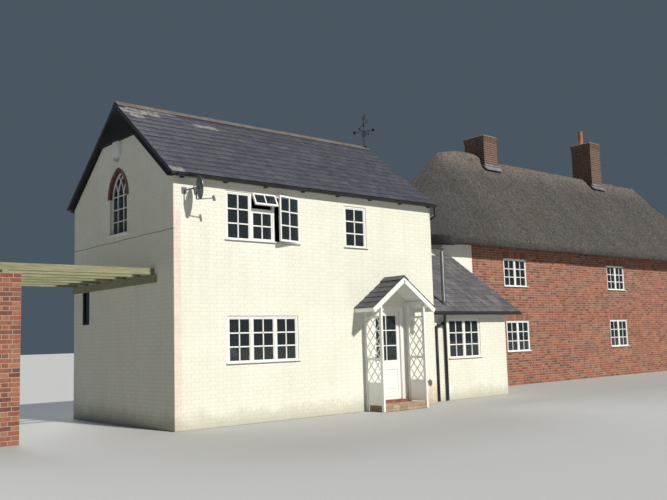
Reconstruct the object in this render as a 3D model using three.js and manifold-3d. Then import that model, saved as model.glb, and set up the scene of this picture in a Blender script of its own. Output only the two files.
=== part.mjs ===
// Thatched cottage: a painted brick wing with a slate roof, a low slated link and a long thatched range.
// Units are millimetres. +X runs along the front to the right, +Y into the house and +Z up.
// The part's origin is on the ground, under the middle of the slate wing.

import * as THREE from "three";
import { mergeVertices } from "three/addons/utils/BufferGeometryUtils.js";
import Module from "manifold-3d";

const wasm = await Module();
wasm.setup();

// Driving dimensions, measured from the ground at the wing's near front corner
const GAP = 0.3;
const BRICK_WALL = 230;
const FLOOR_TOP = 150;

const WING_LENGTH = 6830;
const WING_DEPTH = 4300;
const WING_EAVE = 4610;
const WING_APEX = 6420;
const WING_EAVE_OVERHANG = 125;
const WING_REAR_OVERHANG = 185;
const WING_LEFT_VERGE = 100;
const WING_RIGHT_VERGE = 70;
const WING_UPPER_FLOOR = [2430, 2650];
const SLATE_DEPTH = 60;
const EAVE_LIP = { depth: 15, reach: 90 };
const RIDGE_TILE = { reach: 165, depth: 30 };
const BARGEBOARD = { depth: 128, frontFoot: 4560, rearFoot: 4530 };
const PEAK_BOARD_FOOT = 5637;
const GUTTER_RADIUS = 55;
const GUTTER_WALL = 6;
const GUTTER_OUT = 5;
const RAFTER_FEET = { count: 8, first: 160, pitch: 940 };
const PIPE_RADIUS = 34;

const DOOR_CENTRE = 5322;
const DOOR_LEAF = { width: 820, height: 1960, foot: 186, front: 65, back: 109, gap: 8 };
const DOOR_FRAME = { jamb: 90, front: 22, stop: 60, back: 110, lap: 12 };
const DOOR_PANE = { width: 656, foot: 1025, head: 2030, front: 84, back: 90 };
const DOOR_HEAD = 2220;
const DOOR_HINGE = {
  x: DOOR_CENTRE + 413, y: 116, radius: 6, plate: 30, length: 90, feet: [330, 1090, 1880],
};
const THRESHOLD = { front: -60, top: 180 };

const PORCH = {
  centre: 5258, postWidth: 50, post: 70, reach: 650, front: -547,
  apex: 2840, eave: 2183, eaveReach: 930, verge: -615,
};
const PORCH_SLATE = 45;
const PORCH_BOARD = { depth: 95, thick: 26 };
const PORCH_FLOOR = 125;
const LATTICE = { foot: 603, middle: 1095, head: 1949, strip: 26, thick: 12, pitchY: 200, pitchZ: 250 };

const TRIPLE_WINDOW = { x0: 1117, x1: 2870, z0: 3454, z1: 4408 };
const TRIPLE_MULLIONS = [1701, 2255];
const FANLIGHT = {
  transom: 4058, x0: 1727, x1: 2280, top: 4399, height: 262, angle: 25, stile: 34, thick: 38,
};
const CASEMENT = { x1: 2867, width: 600, foot: 3480, top: 4404, angle: 13, stile: 38, thick: 40 };
const SINGLE_WINDOW = { x0: 4120, x1: 4752, z0: 3465, z1: 4367 };
const LOWER_WINDOW = { x0: 1120, x1: 2800, z0: 1128, z1: 2020 };
const REAR_LOWER_WINDOW = { x0: 2575, x1: 4255, z0: 1128, z1: 2020 };
const REAR_UPPER_WINDOW = { x0: 2575, x1: 4255, z0: 3465, z1: 4367 };
const FRAME = {
  stile: 52, front: 12, back: 82, pane: 44, paneThick: 6, sill: 50, sillDepth: 22, sillOut: 42, sillEar: 35,
};

const GOTHIC = { centre: 2188, half: 373, radius: 556, sill: 3715, spring: 4490, ring: 85, proud: 10 };
const GOTHIC_FRAME = { front: 52, back: 90, stile: 34, mullion: 20, barDepth: 18 };
const GOTHIC_SILL = { depth: 35, out: 45, ear: 60 };
const SLOT_WINDOW = { y0: 3526, y1: 3874, z0: 1985, z1: 2750 };

const ALARM_BOX = { y: 2189, half: 121, top: 5630, shoulder: 5310, foot: 5215, depth: 80 };
const DISH = {
  radius: 215, bowl: 42, skin: 7, centre: [320, -310, 4325], turn: -105, tilt: 5, wall: [218, 4308], post: 60,
};
const VANE = {
  x: 6815, pole: 9, poleTop: 7040, arms: 6862, armReach: 270, armTurn: 21, bar: 10,
  plate: 6, bore: 11, hub: 17, heading: 64,
};
const SCROLL = { z: 6775, half: 70, height: 55, strip: 9 };

const LINK = {
  front: 359, right: 9943, eaveY: 154, eave: 2110, apexY: 2460, apex: 3793, verge: 10353, rearEave: 4430,
};
const LINK_WINDOW = { x0: 7718, x1: 8918, z0: 984, z1: 1958 };
const LINK_FLUE = { x: 7650, y: 405, radius: 50, top: 3600, cap: 85 };
const LINK_PIPE = { outlet: 7370, x: 7552 };
const CORNER_PIPE = { x: 7240, branch: 1860, elbow: 1760 };

const RANGE = { left: 9120, bay: 3400, bays: 6, front: 2510, back: 7740, wall: 300 };
const RANGE_RIGHT = RANGE.left + RANGE.bay * RANGE.bays;
const RANGE_MIDDLE = (RANGE.left + RANGE_RIGHT) / 2;
const RANGE_RIDGE_Y = (RANGE.front + RANGE.back) / 2;
const RANGE_UPPER_FLOOR = [2300, 2500];
const RANGE_WINDOW_WIDTH = 1150;
const RANGE_WINDOW_REACH = 5890;
const RANGE_UPPER_SILL = 2990;
const RANGE_UPPER_HEAD = 3865;
const RANGE_LOWER_SILL = 1000;
const RANGE_LOWER_HEAD = 1950;

const THATCH = {
  ridge: 7760, eave: 4350, under: 4000, overhang: 560, endOverhang: 470, hipRun: 4340, drop: 513,
};
const THATCH_TOP_HALF = 110;
const THATCH_CORNER = { eave: 0.38, top: 1, roundBy: 0.6, most: 0.995 };
const HIP_SWEEP = 1.3;
const RIDGE_HUMP = { x: 14300, z: 7500, length: 1470, width: 430, height: 430 };
const WALL_HEAD = 4850;

const STACK = { front: 4650, back: 5510, width: 730, capProud: 30, capDepth: 210 };
const LEFT_STACK = { x: 14920, top: 8510 };
const RIGHT_STACK = { x: 21740, top: 9200 };
const CHIMNEY_POT = { y: 5280, radius: 115, height: 620 };

const PERGOLA = {
  beams: 7, first: 740, pitch: 570, foot: 2810, depth: 130, thick: 60, left: -3085,
  ledgerDepth: 150, plateDepth: 64, notch: 4,
};
const PIER = { x0: -2965, x1: -2515, side: 450 };

// Materials
function finish(color, roughness, metalness = 0) {
  return new THREE.MeshStandardMaterial({ color, roughness, metalness });
}
const creamPaint = finish(0xe9e2c4, 0.85);
const slate = finish(0x3a3d44, 0.6);
const blackPaint = finish(0x17181a, 0.45);
const whitePaint = finish(0xf2f2ee, 0.4);
const glass = finish(0x28313a, 0.08);
const redBrick = finish(0x9a4a34, 0.9);
const thatchStraw = finish(0x6b6157, 1.0);
const boards = finish(0x7a6248, 0.8);
const stone = finish(0xa79a86, 0.9);
const weatheredOak = finish(0x7c7758, 0.9);
const greyMetal = finish(0x6d7276, 0.5, 0.6);
const ironwork = finish(0x20242b, 0.5, 0.7);

// Solid modelling helpers
function solidOf(geometry) {
  const bare = geometry.clone();
  bare.deleteAttribute("normal");
  bare.deleteAttribute("uv");
  const merged = mergeVertices(bare, 1e-3);
  const mesh = new wasm.Mesh({
    numProp: 3,
    vertProperties: new Float32Array(merged.attributes.position.array),
    triVerts: new Uint32Array(merged.index.array),
  });
  return new wasm.Manifold(mesh);
}

function geometryOf(solid) {
  const mesh = solid.getMesh();
  const geometry = new THREE.BufferGeometry();
  geometry.setAttribute("position", new THREE.BufferAttribute(mesh.vertProperties, 3));
  geometry.setIndex(new THREE.BufferAttribute(mesh.triVerts, 1));
  geometry.computeVertexNormals();
  return geometry;
}

function join(...solids) {
  return solids.flat().reduce((whole, solid) => whole.add(solid));
}

function cut(base, ...tools) {
  return tools.flat().reduce((whole, tool) => whole.subtract(tool), base);
}

function block(x0, x1, y0, y1, z0, z1) {
  const geometry = new THREE.BoxGeometry(x1 - x0, y1 - y0, z1 - z0);
  geometry.translate((x0 + x1) / 2, (y0 + y1) / 2, (z0 + z1) / 2);
  return solidOf(geometry);
}

function outline(points) {
  return new THREE.Shape(points.map(([a, b]) => new THREE.Vector2(a, b)));
}

function extrude(shape, depth, basis, origin, curveSegments = 6) {
  const geometry = new THREE.ExtrudeGeometry(shape, { depth, bevelEnabled: false, curveSegments });
  const matrix = new THREE.Matrix4().makeBasis(...basis.map((axis) => new THREE.Vector3(...axis)));
  matrix.setPosition(...origin);
  geometry.applyMatrix4(matrix);
  return solidOf(geometry);
}

// A prism whose outline lies in Y and Z, and runs along X
function prismX(shape, x0, x1, curveSegments) {
  return extrude(shape, x1 - x0, [[0, 1, 0], [0, 0, 1], [1, 0, 0]], [x0, 0, 0], curveSegments);
}

// A prism whose outline lies in X and Z, and runs along Y
function prismY(shape, y0, y1, curveSegments) {
  return extrude(shape, y1 - y0, [[1, 0, 0], [0, 0, 1], [0, -1, 0]], [0, y1, 0], curveSegments);
}

function rod(from, to, radius, sides = 10) {
  const start = new THREE.Vector3(...from);
  const end = new THREE.Vector3(...to);
  const along = end.clone().sub(start);
  const geometry = new THREE.CylinderGeometry(radius, radius, along.length(), sides);
  const up = new THREE.Vector3(0, 1, 0);
  const turn = new THREE.Quaternion().setFromUnitVectors(up, along.clone().normalize());
  geometry.applyQuaternion(turn);
  geometry.translate(...start.add(end).multiplyScalar(0.5).toArray());
  return solidOf(geometry);
}

// A bent pipe: straight lengths with a ball in each elbow
function pipe(points, radius) {
  const lengths = points.slice(1).map((point, index) => rod(points[index], point, radius));
  const elbows = points.slice(1, -1).map((point) => {
    const ball = new THREE.SphereGeometry(radius, 10, 8);
    ball.translate(...point);
    return solidOf(ball);
  });
  return join(lengths, elbows);
}

const house = new THREE.Group();

function add(name, solid, material) {
  const mesh = new THREE.Mesh(geometryOf(solid), material);
  mesh.name = name;
  house.add(mesh);
}

// Heights of the two slate roofs
const WING_MIDDLE = WING_DEPTH / 2;
const WING_SLOPE = (WING_APEX - WING_EAVE) / (WING_MIDDLE + WING_EAVE_OVERHANG);
const wingRoofTop = (y) => WING_APEX - WING_SLOPE * Math.abs(y - WING_MIDDLE);
const wingRoofUnder = (y) => wingRoofTop(y) - SLATE_DEPTH - GAP;

const LINK_SLOPE = (LINK.apex - LINK.eave) / (LINK.apexY - LINK.eaveY);
const linkRoofTop = (y) => LINK.apex - LINK_SLOPE * Math.abs(y - LINK.apexY);
const linkRoofUnder = (y) => linkRoofTop(y) - SLATE_DEPTH - GAP;

// Windows. Depths are measured inward from the wall's outer face, on the front or the rear
function facade(face, outward) {
  return (x0, x1, z0, z1, d0, d1) => {
    const a = face - outward * d0;
    const b = face - outward * d1;
    return block(x0, x1, Math.min(a, b), Math.max(a, b), z0, z1);
  };
}

function windowHole(opening, face, outward, wall) {
  return facade(face, outward)(opening.x0, opening.x1, opening.z0, opening.z1, -10, wall + 10);
}

function windowLights(opening, mullions) {
  const edges = [opening.x0 + GAP, ...mullions, opening.x1 - GAP];
  return edges.slice(1).map((edge, index) => ({
    x0: edges[index] + (index === 0 ? FRAME.stile : FRAME.stile / 2),
    x1: edge - (index === edges.length - 2 ? FRAME.stile : FRAME.stile / 2),
    z0: opening.z0 + GAP + FRAME.sill,
    z1: opening.z1 - GAP - FRAME.stile,
  }));
}

function windowFrame(opening, mullions, face, outward, back = FRAME.back) {
  const at = facade(face, outward);
  const { x0, x1, z0, z1 } = opening;
  const body = at(x0 + GAP, x1 - GAP, z0 + GAP, z1 - GAP, FRAME.front, back);
  const lights = windowLights(opening, mullions);
  const holes = lights.map((light) => at(light.x0, light.x1, light.z0, light.z1, -10, back + 10));
  const sillTop = z0 + GAP + FRAME.sillDepth;
  const sill = join(
    at(x0 + GAP, x1 - GAP, z0 + GAP, sillTop, -FRAME.sillOut, FRAME.front + 5),
    at(x0 - FRAME.sillEar, x1 + FRAME.sillEar, z0 + GAP, sillTop, -FRAME.sillOut, -GAP),
  );
  return join(cut(body, holes), sill);
}

// A frame with its panes in place
function glazedWindow(opening, mullions, face, outward) {
  const at = facade(face, outward);
  const panes = windowLights(opening, mullions).map((light) =>
    at(light.x0 - 5, light.x1 + 5, light.z0 - 5, light.z1 + 5, FRAME.pane, FRAME.pane + FRAME.paneThick));
  return join(windowFrame(opening, mullions, face, outward), panes);
}

// Slate wing: walls, floors and roof
function frontWallProfile() {
  return outline([[0, 0], [BRICK_WALL, 0], [BRICK_WALL, wingRoofUnder(BRICK_WALL)], [0, wingRoofUnder(0)]]);
}

function gableProfile() {
  return outline([[0, 0], [WING_DEPTH, 0], [WING_DEPTH, wingRoofUnder(0)],
    [WING_MIDDLE, wingRoofUnder(WING_MIDDLE)], [0, wingRoofUnder(0)]]);
}

const DOOR_OPENING = DOOR_LEAF.width / 2 + DOOR_LEAF.gap + DOOR_FRAME.jamb;
const DOOR_LEFT = DOOR_CENTRE - DOOR_OPENING;
const DOOR_RIGHT = DOOR_CENTRE + DOOR_OPENING;

function wingWalls() {
  const inLeft = BRICK_WALL + GAP;
  const inRight = WING_LENGTH - BRICK_WALL - GAP;
  const front = frontWallProfile();
  const frontHoles = [TRIPLE_WINDOW, SINGLE_WINDOW, LOWER_WINDOW].map((opening) =>
    windowHole(opening, 0, -1, BRICK_WALL));
  add("wing_front_wall_left", cut(prismX(front, inLeft, DOOR_LEFT - GAP), frontHoles), creamPaint);
  const overDoor = block(DOOR_LEFT, DOOR_RIGHT, -10, BRICK_WALL + 10, DOOR_HEAD + GAP, WING_APEX);
  add("wing_front_wall_over_door", prismX(front, DOOR_LEFT, DOOR_RIGHT).intersect(overDoor), creamPaint);
  add("wing_front_wall_right", prismX(front, DOOR_RIGHT + GAP, inRight), creamPaint);
  const rearHoles = [REAR_UPPER_WINDOW, REAR_LOWER_WINDOW].map((opening) =>
    windowHole(opening, WING_DEPTH, 1, BRICK_WALL));
  const back = outline([[WING_DEPTH - BRICK_WALL, 0], [WING_DEPTH, 0], [WING_DEPTH, wingRoofUnder(WING_DEPTH)],
    [WING_DEPTH - BRICK_WALL, wingRoofUnder(WING_DEPTH - BRICK_WALL)]]);
  add("wing_back_wall", cut(prismX(back, inLeft, inRight), rearHoles), creamPaint);
  const slot = block(-10, BRICK_WALL + 10, SLOT_WINDOW.y0, SLOT_WINDOW.y1, SLOT_WINDOW.z0, SLOT_WINDOW.z1);
  const archHole = prismX(gothicOutline(GOTHIC.ring + GAP, GOTHIC.spring - GAP), -10, BRICK_WALL + 10, 10);
  const lightHole = prismX(gothicOutline(0, GOTHIC.sill), -10, BRICK_WALL + 10, 10);
  add("wing_gable_wall", cut(prismX(gableProfile(), 0, BRICK_WALL), slot, archHole, lightHole), creamPaint);
  add("wing_right_wall", prismX(gableProfile(), WING_LENGTH - BRICK_WALL, WING_LENGTH), creamPaint);
}

function wingFloors() {
  const inset = BRICK_WALL + GAP;
  const room = [inset, WING_LENGTH - inset, inset, WING_DEPTH - inset];
  add("wing_ground_floor", block(...room, 0, FLOOR_TOP), stone);
  add("wing_upper_floor", block(...room, ...WING_UPPER_FLOOR), boards);
}

// A roof slab, cut thin at the eave so that only the slates' edge shows above the gutter
function slopeProfile(edgeY, apexY, top) {
  const lip = edgeY + Math.sign(apexY - edgeY) * EAVE_LIP.reach;
  return outline([
    [edgeY, top(edgeY)], [edgeY, top(edgeY) - EAVE_LIP.depth], [lip, top(lip) - SLATE_DEPTH],
    [apexY, top(apexY) - SLATE_DEPTH], [apexY, top(apexY)],
  ]);
}

function wingRoof() {
  const x0 = -WING_LEFT_VERGE;
  const x1 = WING_LENGTH + WING_RIGHT_VERGE;
  const frontEdge = -WING_EAVE_OVERHANG;
  const rearEdge = WING_DEPTH + WING_REAR_OVERHANG;
  add("wing_roof_front", prismX(slopeProfile(frontEdge, WING_MIDDLE - GAP / 2, wingRoofTop), x0, x1), slate);
  add("wing_roof_rear", prismX(slopeProfile(rearEdge, WING_MIDDLE + GAP / 2, wingRoofTop), x0, x1), slate);
  const { reach, depth } = RIDGE_TILE;
  const foot = wingRoofTop(WING_MIDDLE + reach) + GAP;
  const ridge = outline([[WING_MIDDLE - reach, foot], [WING_MIDDLE, WING_APEX + GAP], [WING_MIDDLE + reach, foot],
    [WING_MIDDLE + reach, foot + depth], [WING_MIDDLE, WING_APEX + depth], [WING_MIDDLE - reach, foot + depth]]);
  add("wing_ridge_tiles", prismX(ridge, x0, x1), slate);
}

// The boards follow the slabs' underside, and their feet are cut level
function wingBargeboards() {
  const frontEdge = -WING_EAVE_OVERHANG;
  const rearEdge = WING_DEPTH + WING_REAR_OVERHANG;
  const { depth, frontFoot, rearFoot } = BARGEBOARD;
  const reachOf = (z) => (wingRoofUnder(WING_MIDDLE) - depth - z) / WING_SLOPE;
  const panel = reachOf(PEAK_BOARD_FOOT);
  const lipTop = (edge) => wingRoofTop(edge) - EAVE_LIP.depth - GAP;
  const inFront = frontEdge + EAVE_LIP.reach;
  const inRear = rearEdge - EAVE_LIP.reach;
  const board = outline([
    [frontEdge, lipTop(frontEdge)], [frontEdge, frontFoot], [WING_MIDDLE - reachOf(frontFoot), frontFoot],
    [WING_MIDDLE - panel, PEAK_BOARD_FOOT], [WING_MIDDLE + panel, PEAK_BOARD_FOOT],
    [WING_MIDDLE + reachOf(rearFoot), rearFoot], [rearEdge, rearFoot], [rearEdge, lipTop(rearEdge)],
    [inRear, wingRoofUnder(inRear)], [WING_MIDDLE, wingRoofUnder(WING_MIDDLE)], [inFront, wingRoofUnder(inFront)],
  ]);
  add("wing_bargeboards", prismX(board, -WING_LEFT_VERGE, -GAP), blackPaint);
}

// Half-round gutter section, open at the top, centred on the rim line
function gutterSection(y, z) {
  const shape = new THREE.Shape();
  shape.absarc(y, z, GUTTER_RADIUS, Math.PI, 2 * Math.PI, false);
  shape.absarc(y, z, GUTTER_RADIUS - GUTTER_WALL, 2 * Math.PI, Math.PI, true);
  return shape;
}

function stopEnd(y, z, x0, x1) {
  const shape = new THREE.Shape();
  shape.absarc(y, z, GUTTER_RADIUS, Math.PI, 2 * Math.PI, false);
  return prismX(shape, x0, x1);
}

function gutterRun(y, z, x0, x1) {
  const ends = [stopEnd(y, z, x0, x0 + GUTTER_WALL), stopEnd(y, z, x1 - GUTTER_WALL, x1)];
  return join(prismX(gutterSection(y, z), x0, x1), ends);
}

function wingGutters() {
  const x0 = 0;
  const x1 = WING_LENGTH + WING_RIGHT_VERGE;
  const { count, first, pitch } = RAFTER_FEET;
  for (const [name, side, overhang] of [
    ["wing_front_gutter", 1, WING_EAVE_OVERHANG], ["wing_rear_gutter", -1, WING_REAR_OVERHANG]]) {
    const face = side === 1 ? 0 : WING_DEPTH;
    const y = (value) => face + side * value;
    const rim = wingRoofTop(y(-overhang)) - EAVE_LIP.depth - GAP;
    const rimY = -overhang - GUTTER_OUT;
    const feet = Array.from({ length: count }, (_, index) => {
      const x = first + pitch * index;
      const span = [y(rimY + GUTTER_RADIUS - GUTTER_WALL), y(-GAP)].sort((a, b) => a - b);
      return block(x - 28, x + 28, ...span, rim - 62, rim - 4);
    });
    const drop = pipe([
      [WING_LENGTH + 36, y(rimY), rim - GUTTER_RADIUS + 8],
      [WING_LENGTH + 36, y(rimY), rim - 240],
      [WING_LENGTH + 36, y(230), rim - 400],
      [WING_LENGTH + 36, y(230), linkRoofTop(y(230)) + 60],
    ], PIPE_RADIUS);
    add(name, join(gutterRun(y(rimY), rim, x0, x1), feet, drop), blackPaint);
  }
}

// Pointed window in the gable. Its two arcs are struck from centres inside the opening
function gothicOutline(offset, foot) {
  const { centre, half, radius, spring } = GOTHIC;
  const inset = radius - half;
  const crown = Math.acos(inset / (radius + offset));
  const shape = new THREE.Shape();
  shape.moveTo(centre - half - offset, foot);
  shape.lineTo(centre + half + offset, foot);
  shape.absarc(centre - inset, spring, radius + offset, 0, crown, false);
  shape.absarc(centre + inset, spring, radius + offset, Math.PI - crown, Math.PI, false);
  shape.closePath();
  return shape;
}

function gothicTracery() {
  const { centre, half, radius, spring, sill } = GOTHIC;
  const { front, mullion, barDepth } = GOTHIC_FRAME;
  const back = front + barDepth;
  const third = (2 * half) / 3;
  const bars = [-third / 2, third / 2].map((offset) =>
    block(front, back, centre + offset - mullion / 2, centre + offset + mullion / 2, sill, spring + 5));
  const bow = (middle, start, end) => {
    const shape = new THREE.Shape();
    shape.absarc(middle, spring, radius + mullion / 2, start, end, false);
    shape.absarc(middle, spring, radius - mullion / 2, end, start, true);
    return prismX(shape, front, back, 8);
  };
  const bows = [-third / 2, third / 2].flatMap((offset) => [
    bow(centre + offset - radius, 0, Math.PI / 3),
    bow(centre + offset + radius, Math.PI * 2 / 3, Math.PI),
  ]);
  return join(bars, bows);
}

function gothicWindow() {
  const { centre, half, sill, spring, ring, proud } = GOTHIC;
  const { front, back, stile, barDepth } = GOTHIC_FRAME;
  const arch = cut(
    prismX(gothicOutline(ring, spring), -proud, BRICK_WALL, 10),
    prismX(gothicOutline(0, spring - 10), -proud - 10, BRICK_WALL + 10, 10),
  );
  add("gothic_window_arch", arch, redBrick);
  const { depth, out, ear } = GOTHIC_SILL;
  const sillBoard = join(
    block(-out, front + 5, centre - half + GAP, centre + half - GAP, sill + GAP, sill + GAP + depth),
    block(-out, -GAP, centre - half - ear, centre + half + ear, sill + GAP, sill + GAP + depth),
  );
  const body = prismX(gothicOutline(-GAP, sill + GAP), front, back, 10);
  const light = prismX(gothicOutline(-stile, sill + stile), front - 10, back + 10, 10);
  const barField = prismX(gothicOutline(-stile + 4, sill + stile - 4), front, back, 10);
  const tracery = gothicTracery().intersect(barField);
  add("gothic_window_frame", join(cut(body, light), tracery, sillBoard), whitePaint);
  const pane = front + barDepth + GAP;
  const paneOutline = gothicOutline(-stile - GAP, sill + stile + GAP);
  add("gothic_window_glass", prismX(paneOutline, pane, pane + FRAME.paneThick, 10), glass);
}

// The three-light window, with its fanlight and casement standing open
function tripleWindow() {
  const at = facade(0, -1);
  const [left, middle] = windowLights(TRIPLE_WINDOW, TRIPLE_MULLIONS);
  const transom = at(
    middle.x0 - 5, middle.x1 + 5, FANLIGHT.transom, FANLIGHT.transom + FRAME.stile, FRAME.front, FRAME.back);
  add("triple_window_frame", join(windowFrame(TRIPLE_WINDOW, TRIPLE_MULLIONS, 0, -1), transom), whitePaint);
  const pane = outline([
    [left.x0 - 20, left.z0 - 20], [middle.x1 + 20, left.z0 - 20], [middle.x1 + 20, FANLIGHT.transom + 20],
    [middle.x0 - 20, FANLIGHT.transom + 20], [middle.x0 - 20, left.z1 + 20], [left.x0 - 20, left.z1 + 20],
  ]);
  add("triple_window_glass", prismY(pane, FRAME.back + GAP, FRAME.back + GAP + FRAME.paneThick), glass);
  add("triple_window_fanlight", openFanlight(), whitePaint);
  add("triple_window_casement", openCasement(), whitePaint);
}

// A sash with its pane, lying in X and Z, from its hinge edge
function sash(width, height, stile, thick) {
  const body = block(0, width, 0, thick, 0, height);
  const light = block(stile, width - stile, -10, thick + 10, stile, height - stile);
  const pane = block(stile - 5, width - stile + 5, thick / 2 - 3, thick / 2 + 3, stile - 5, height - stile + 5);
  return join(cut(body, light), pane);
}

// Opening lights overlap the frame, so each turns on its back edge in front of the frame's face
function openFanlight() {
  const { x0, x1, top, height, angle, stile, thick } = FANLIGHT;
  const hung = sash(x1 - x0, height, stile, thick).translate([0, -thick, -height]);
  return hung.rotate([-angle, 0, 0]).translate([x0, FRAME.front - GAP, top]);
}

function openCasement() {
  const { x1, width, foot, top, angle, stile, thick } = CASEMENT;
  const hung = sash(width, top - foot, stile, thick).translate([-width, -thick, 0]);
  return hung.rotate([0, 0, angle]).translate([x1, FRAME.front - GAP, foot]);
}

function wingWindows() {
  tripleWindow();
  gothicWindow();
  const lowerMullions = [LOWER_WINDOW.x0 + 560, LOWER_WINDOW.x0 + 1120];
  const rearMullions = [REAR_LOWER_WINDOW.x0 + 560, REAR_LOWER_WINDOW.x0 + 1120];
  add("single_window", glazedWindow(SINGLE_WINDOW, [], 0, -1), whitePaint);
  add("lower_window", glazedWindow(LOWER_WINDOW, lowerMullions, 0, -1), whitePaint);
  add("wing_rear_upper_window", glazedWindow(REAR_UPPER_WINDOW, rearMullions, WING_DEPTH, 1), whitePaint);
  add("wing_rear_lower_window", glazedWindow(REAR_LOWER_WINDOW, rearMullions, WING_DEPTH, 1), whitePaint);
  const { y0, y1, z0, z1 } = SLOT_WINDOW;
  const body = block(FRAME.front, FRAME.back, y0 + GAP, y1 - GAP, z0 + GAP, z1 - GAP);
  const light = block(FRAME.front - 10, FRAME.back + 10, y0 + 45, y1 - 45, z0 + 45, z1 - 45);
  const pane = block(FRAME.pane, FRAME.pane + FRAME.paneThick, y0 + 40, y1 - 40, z0 + 40, z1 - 40);
  add("slot_window", join(cut(body, light), pane), whitePaint);
}

// Front door and its porch
function frontDoor() {
  const { width, height, foot, front, back, gap } = DOOR_LEAF;
  const half = width / 2;
  const head = foot + height;
  const outer = block(
    DOOR_LEFT + GAP, DOOR_RIGHT - GAP, DOOR_FRAME.front, DOOR_FRAME.back, THRESHOLD.top + GAP, DOOR_HEAD);
  const clear = half + gap;
  const { front: frameFront, stop, back: frameBack, lap } = DOOR_FRAME;
  const way = block(DOOR_CENTRE - clear, DOOR_CENTRE + clear, stop, frameBack + 10, 0, head + gap);
  const sight = half - lap;
  const rebate = block(DOOR_CENTRE - sight, DOOR_CENTRE + sight, frameFront - 10, stop + 10, 0, head - lap);
  add("front_door_frame", join(cut(outer, way, rebate), doorHinges(0, 1)), whitePaint);
  const paneHalf = DOOR_PANE.width / 2;
  const leaf = block(DOOR_CENTRE - half, DOOR_CENTRE + half, front, back, foot, head);
  const hole = block(
    DOOR_CENTRE - paneHalf, DOOR_CENTRE + paneHalf, front - 10, back + 10, DOOR_PANE.foot, DOOR_PANE.head);
  const handleX = DOOR_CENTRE - half + 55;
  const handles = [front - 48, back + 48].map((y) => join(
    rod([handleX, y > back ? back - 2 : front + 2, 1110], [handleX, y, 1110], 9),
    rod([handleX - 9, y, 1110], [handleX + 105, y, 1110], 9),
  ));
  const pane = block(DOOR_CENTRE - paneHalf - 5, DOOR_CENTRE + paneHalf + 5, DOOR_PANE.front, DOOR_PANE.back,
    DOOR_PANE.foot - 5, DOOR_PANE.head + 5);
  add("front_door_leaf", join(cut(leaf, hole), pane, handles, doorHinges(1, -1)), whitePaint);
}

// Knuckles on the hinge line: the frame carries the lower half of each, the leaf the upper half
function doorHinges(half, side) {
  const { x, y, radius, plate, length, feet } = DOOR_HINGE;
  return feet.flatMap((foot) => {
    const z0 = foot + half * (length / 2 + GAP);
    const z1 = z0 + length / 2;
    const ends = [x, x + side * plate].sort((a, b) => a - b);
    return [rod([x, y, z0], [x, y, z1], radius, 8), block(...ends, y - 9, y, z0, z1)];
  });
}

function porchSide(side) {
  const { postWidth, post, reach, front, apex, eave, eaveReach } = PORCH;
  const x = PORCH.centre + side * reach;
  const slope = (apex - eave) / eaveReach;
  const head = apex - slope * (reach + postWidth / 2) - PORCH_SLATE - 2 * GAP;
  const x0 = x - postWidth / 2;
  const x1 = x + postWidth / 2;
  const wallPost = -post - GAP;
  const posts = [[front, front + post], [wallPost, -GAP]].map(([y0, y1]) => block(x0, x1, y0, y1, 0, head));
  const rails = [[head - 80, head], [LATTICE.middle - 25, LATTICE.middle + 25], [LATTICE.foot - 45, LATTICE.foot],
    [LATTICE.head, LATTICE.head + 45]].map(([z0, z1]) => block(x - 20, x + 20, front + 5, wallPost + 5, z0, z1));
  const panel = block(x - 10, x + 10, front + 5, wallPost + 5, PORCH_FLOOR + 25, LATTICE.foot - 5);
  return join(posts, rails, panel, latticeStrips(x, front + post, wallPost));
}

function latticeStrips(x, y0, y1) {
  const { foot, head, strip, thick, pitchY, pitchZ } = LATTICE;
  const rise = pitchZ / pitchY;
  const height = (y1 - y0) * rise;
  const field = block(x - thick / 2, x + thick / 2, y0 - 4, y1 + 4, foot - 4, head + 4);
  const strips = [];
  const half = (strip / 2) * Math.hypot(1, rise);
  const over = 20;
  const lift = over * rise;
  for (let z = foot - height; z < head; z += pitchZ) {
    const foot0 = z - lift;
    const head0 = z + height + lift;
    const up = outline([[y0 - over, foot0 - half], [y1 + over, head0 - half],
      [y1 + over, head0 + half], [y0 - over, foot0 + half]]);
    const down = outline([[y0 - over, head0 - half], [y1 + over, foot0 - half],
      [y1 + over, foot0 + half], [y0 - over, head0 + half]]);
    strips.push(prismX(up, x - thick / 2, x + thick / 2), prismX(down, x - thick / 2, x + thick / 2));
  }
  return join(strips).intersect(field);
}

function porch() {
  const { apex, eave, eaveReach, verge } = PORCH;
  const c = PORCH.centre;
  const roof = outline([[c - eaveReach, eave], [c - eaveReach, eave - PORCH_SLATE], [c, apex - PORCH_SLATE],
    [c + eaveReach, eave - PORCH_SLATE], [c + eaveReach, eave], [c, apex]]);
  const top = eave - PORCH_SLATE + 1;
  const peak = apex - PORCH_SLATE + 1;
  const { depth, thick } = PORCH_BOARD;
  const board = outline([[c - eaveReach, top], [c - eaveReach, top - depth], [c, peak - depth],
    [c + eaveReach, top - depth], [c + eaveReach, top], [c, peak]]);
  add("porch_roof", join(prismY(roof, verge, -GAP), prismY(board, verge + 4, verge + 4 + thick)), slate);
  add("porch_left_side", porchSide(-1), whitePaint);
  add("porch_right_side", porchSide(1), whitePaint);
  const inner = PORCH.reach - PORCH.postWidth / 2 - GAP;
  const { front, top: stepTop } = THRESHOLD;
  const threshold = block(DOOR_LEFT + GAP, DOOR_RIGHT - GAP, front, BRICK_WALL - GAP, 0, stepTop);
  const paving = block(c - inner, c + inner, PORCH.front, -GAP, 0, PORCH_FLOOR);
  add("porch_step", join(threshold, paving), redBrick);
}

// Small pieces on the wing
function alarmBox() {
  const { y, half, top, shoulder, foot, depth } = ALARM_BOX;
  const shape = outline([
    [y - half, top], [y - half, shoulder], [y, foot], [y + half, shoulder], [y + half, top],
  ]);
  add("alarm_box", prismX(shape, -depth, -GAP), whitePaint);
}

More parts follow.
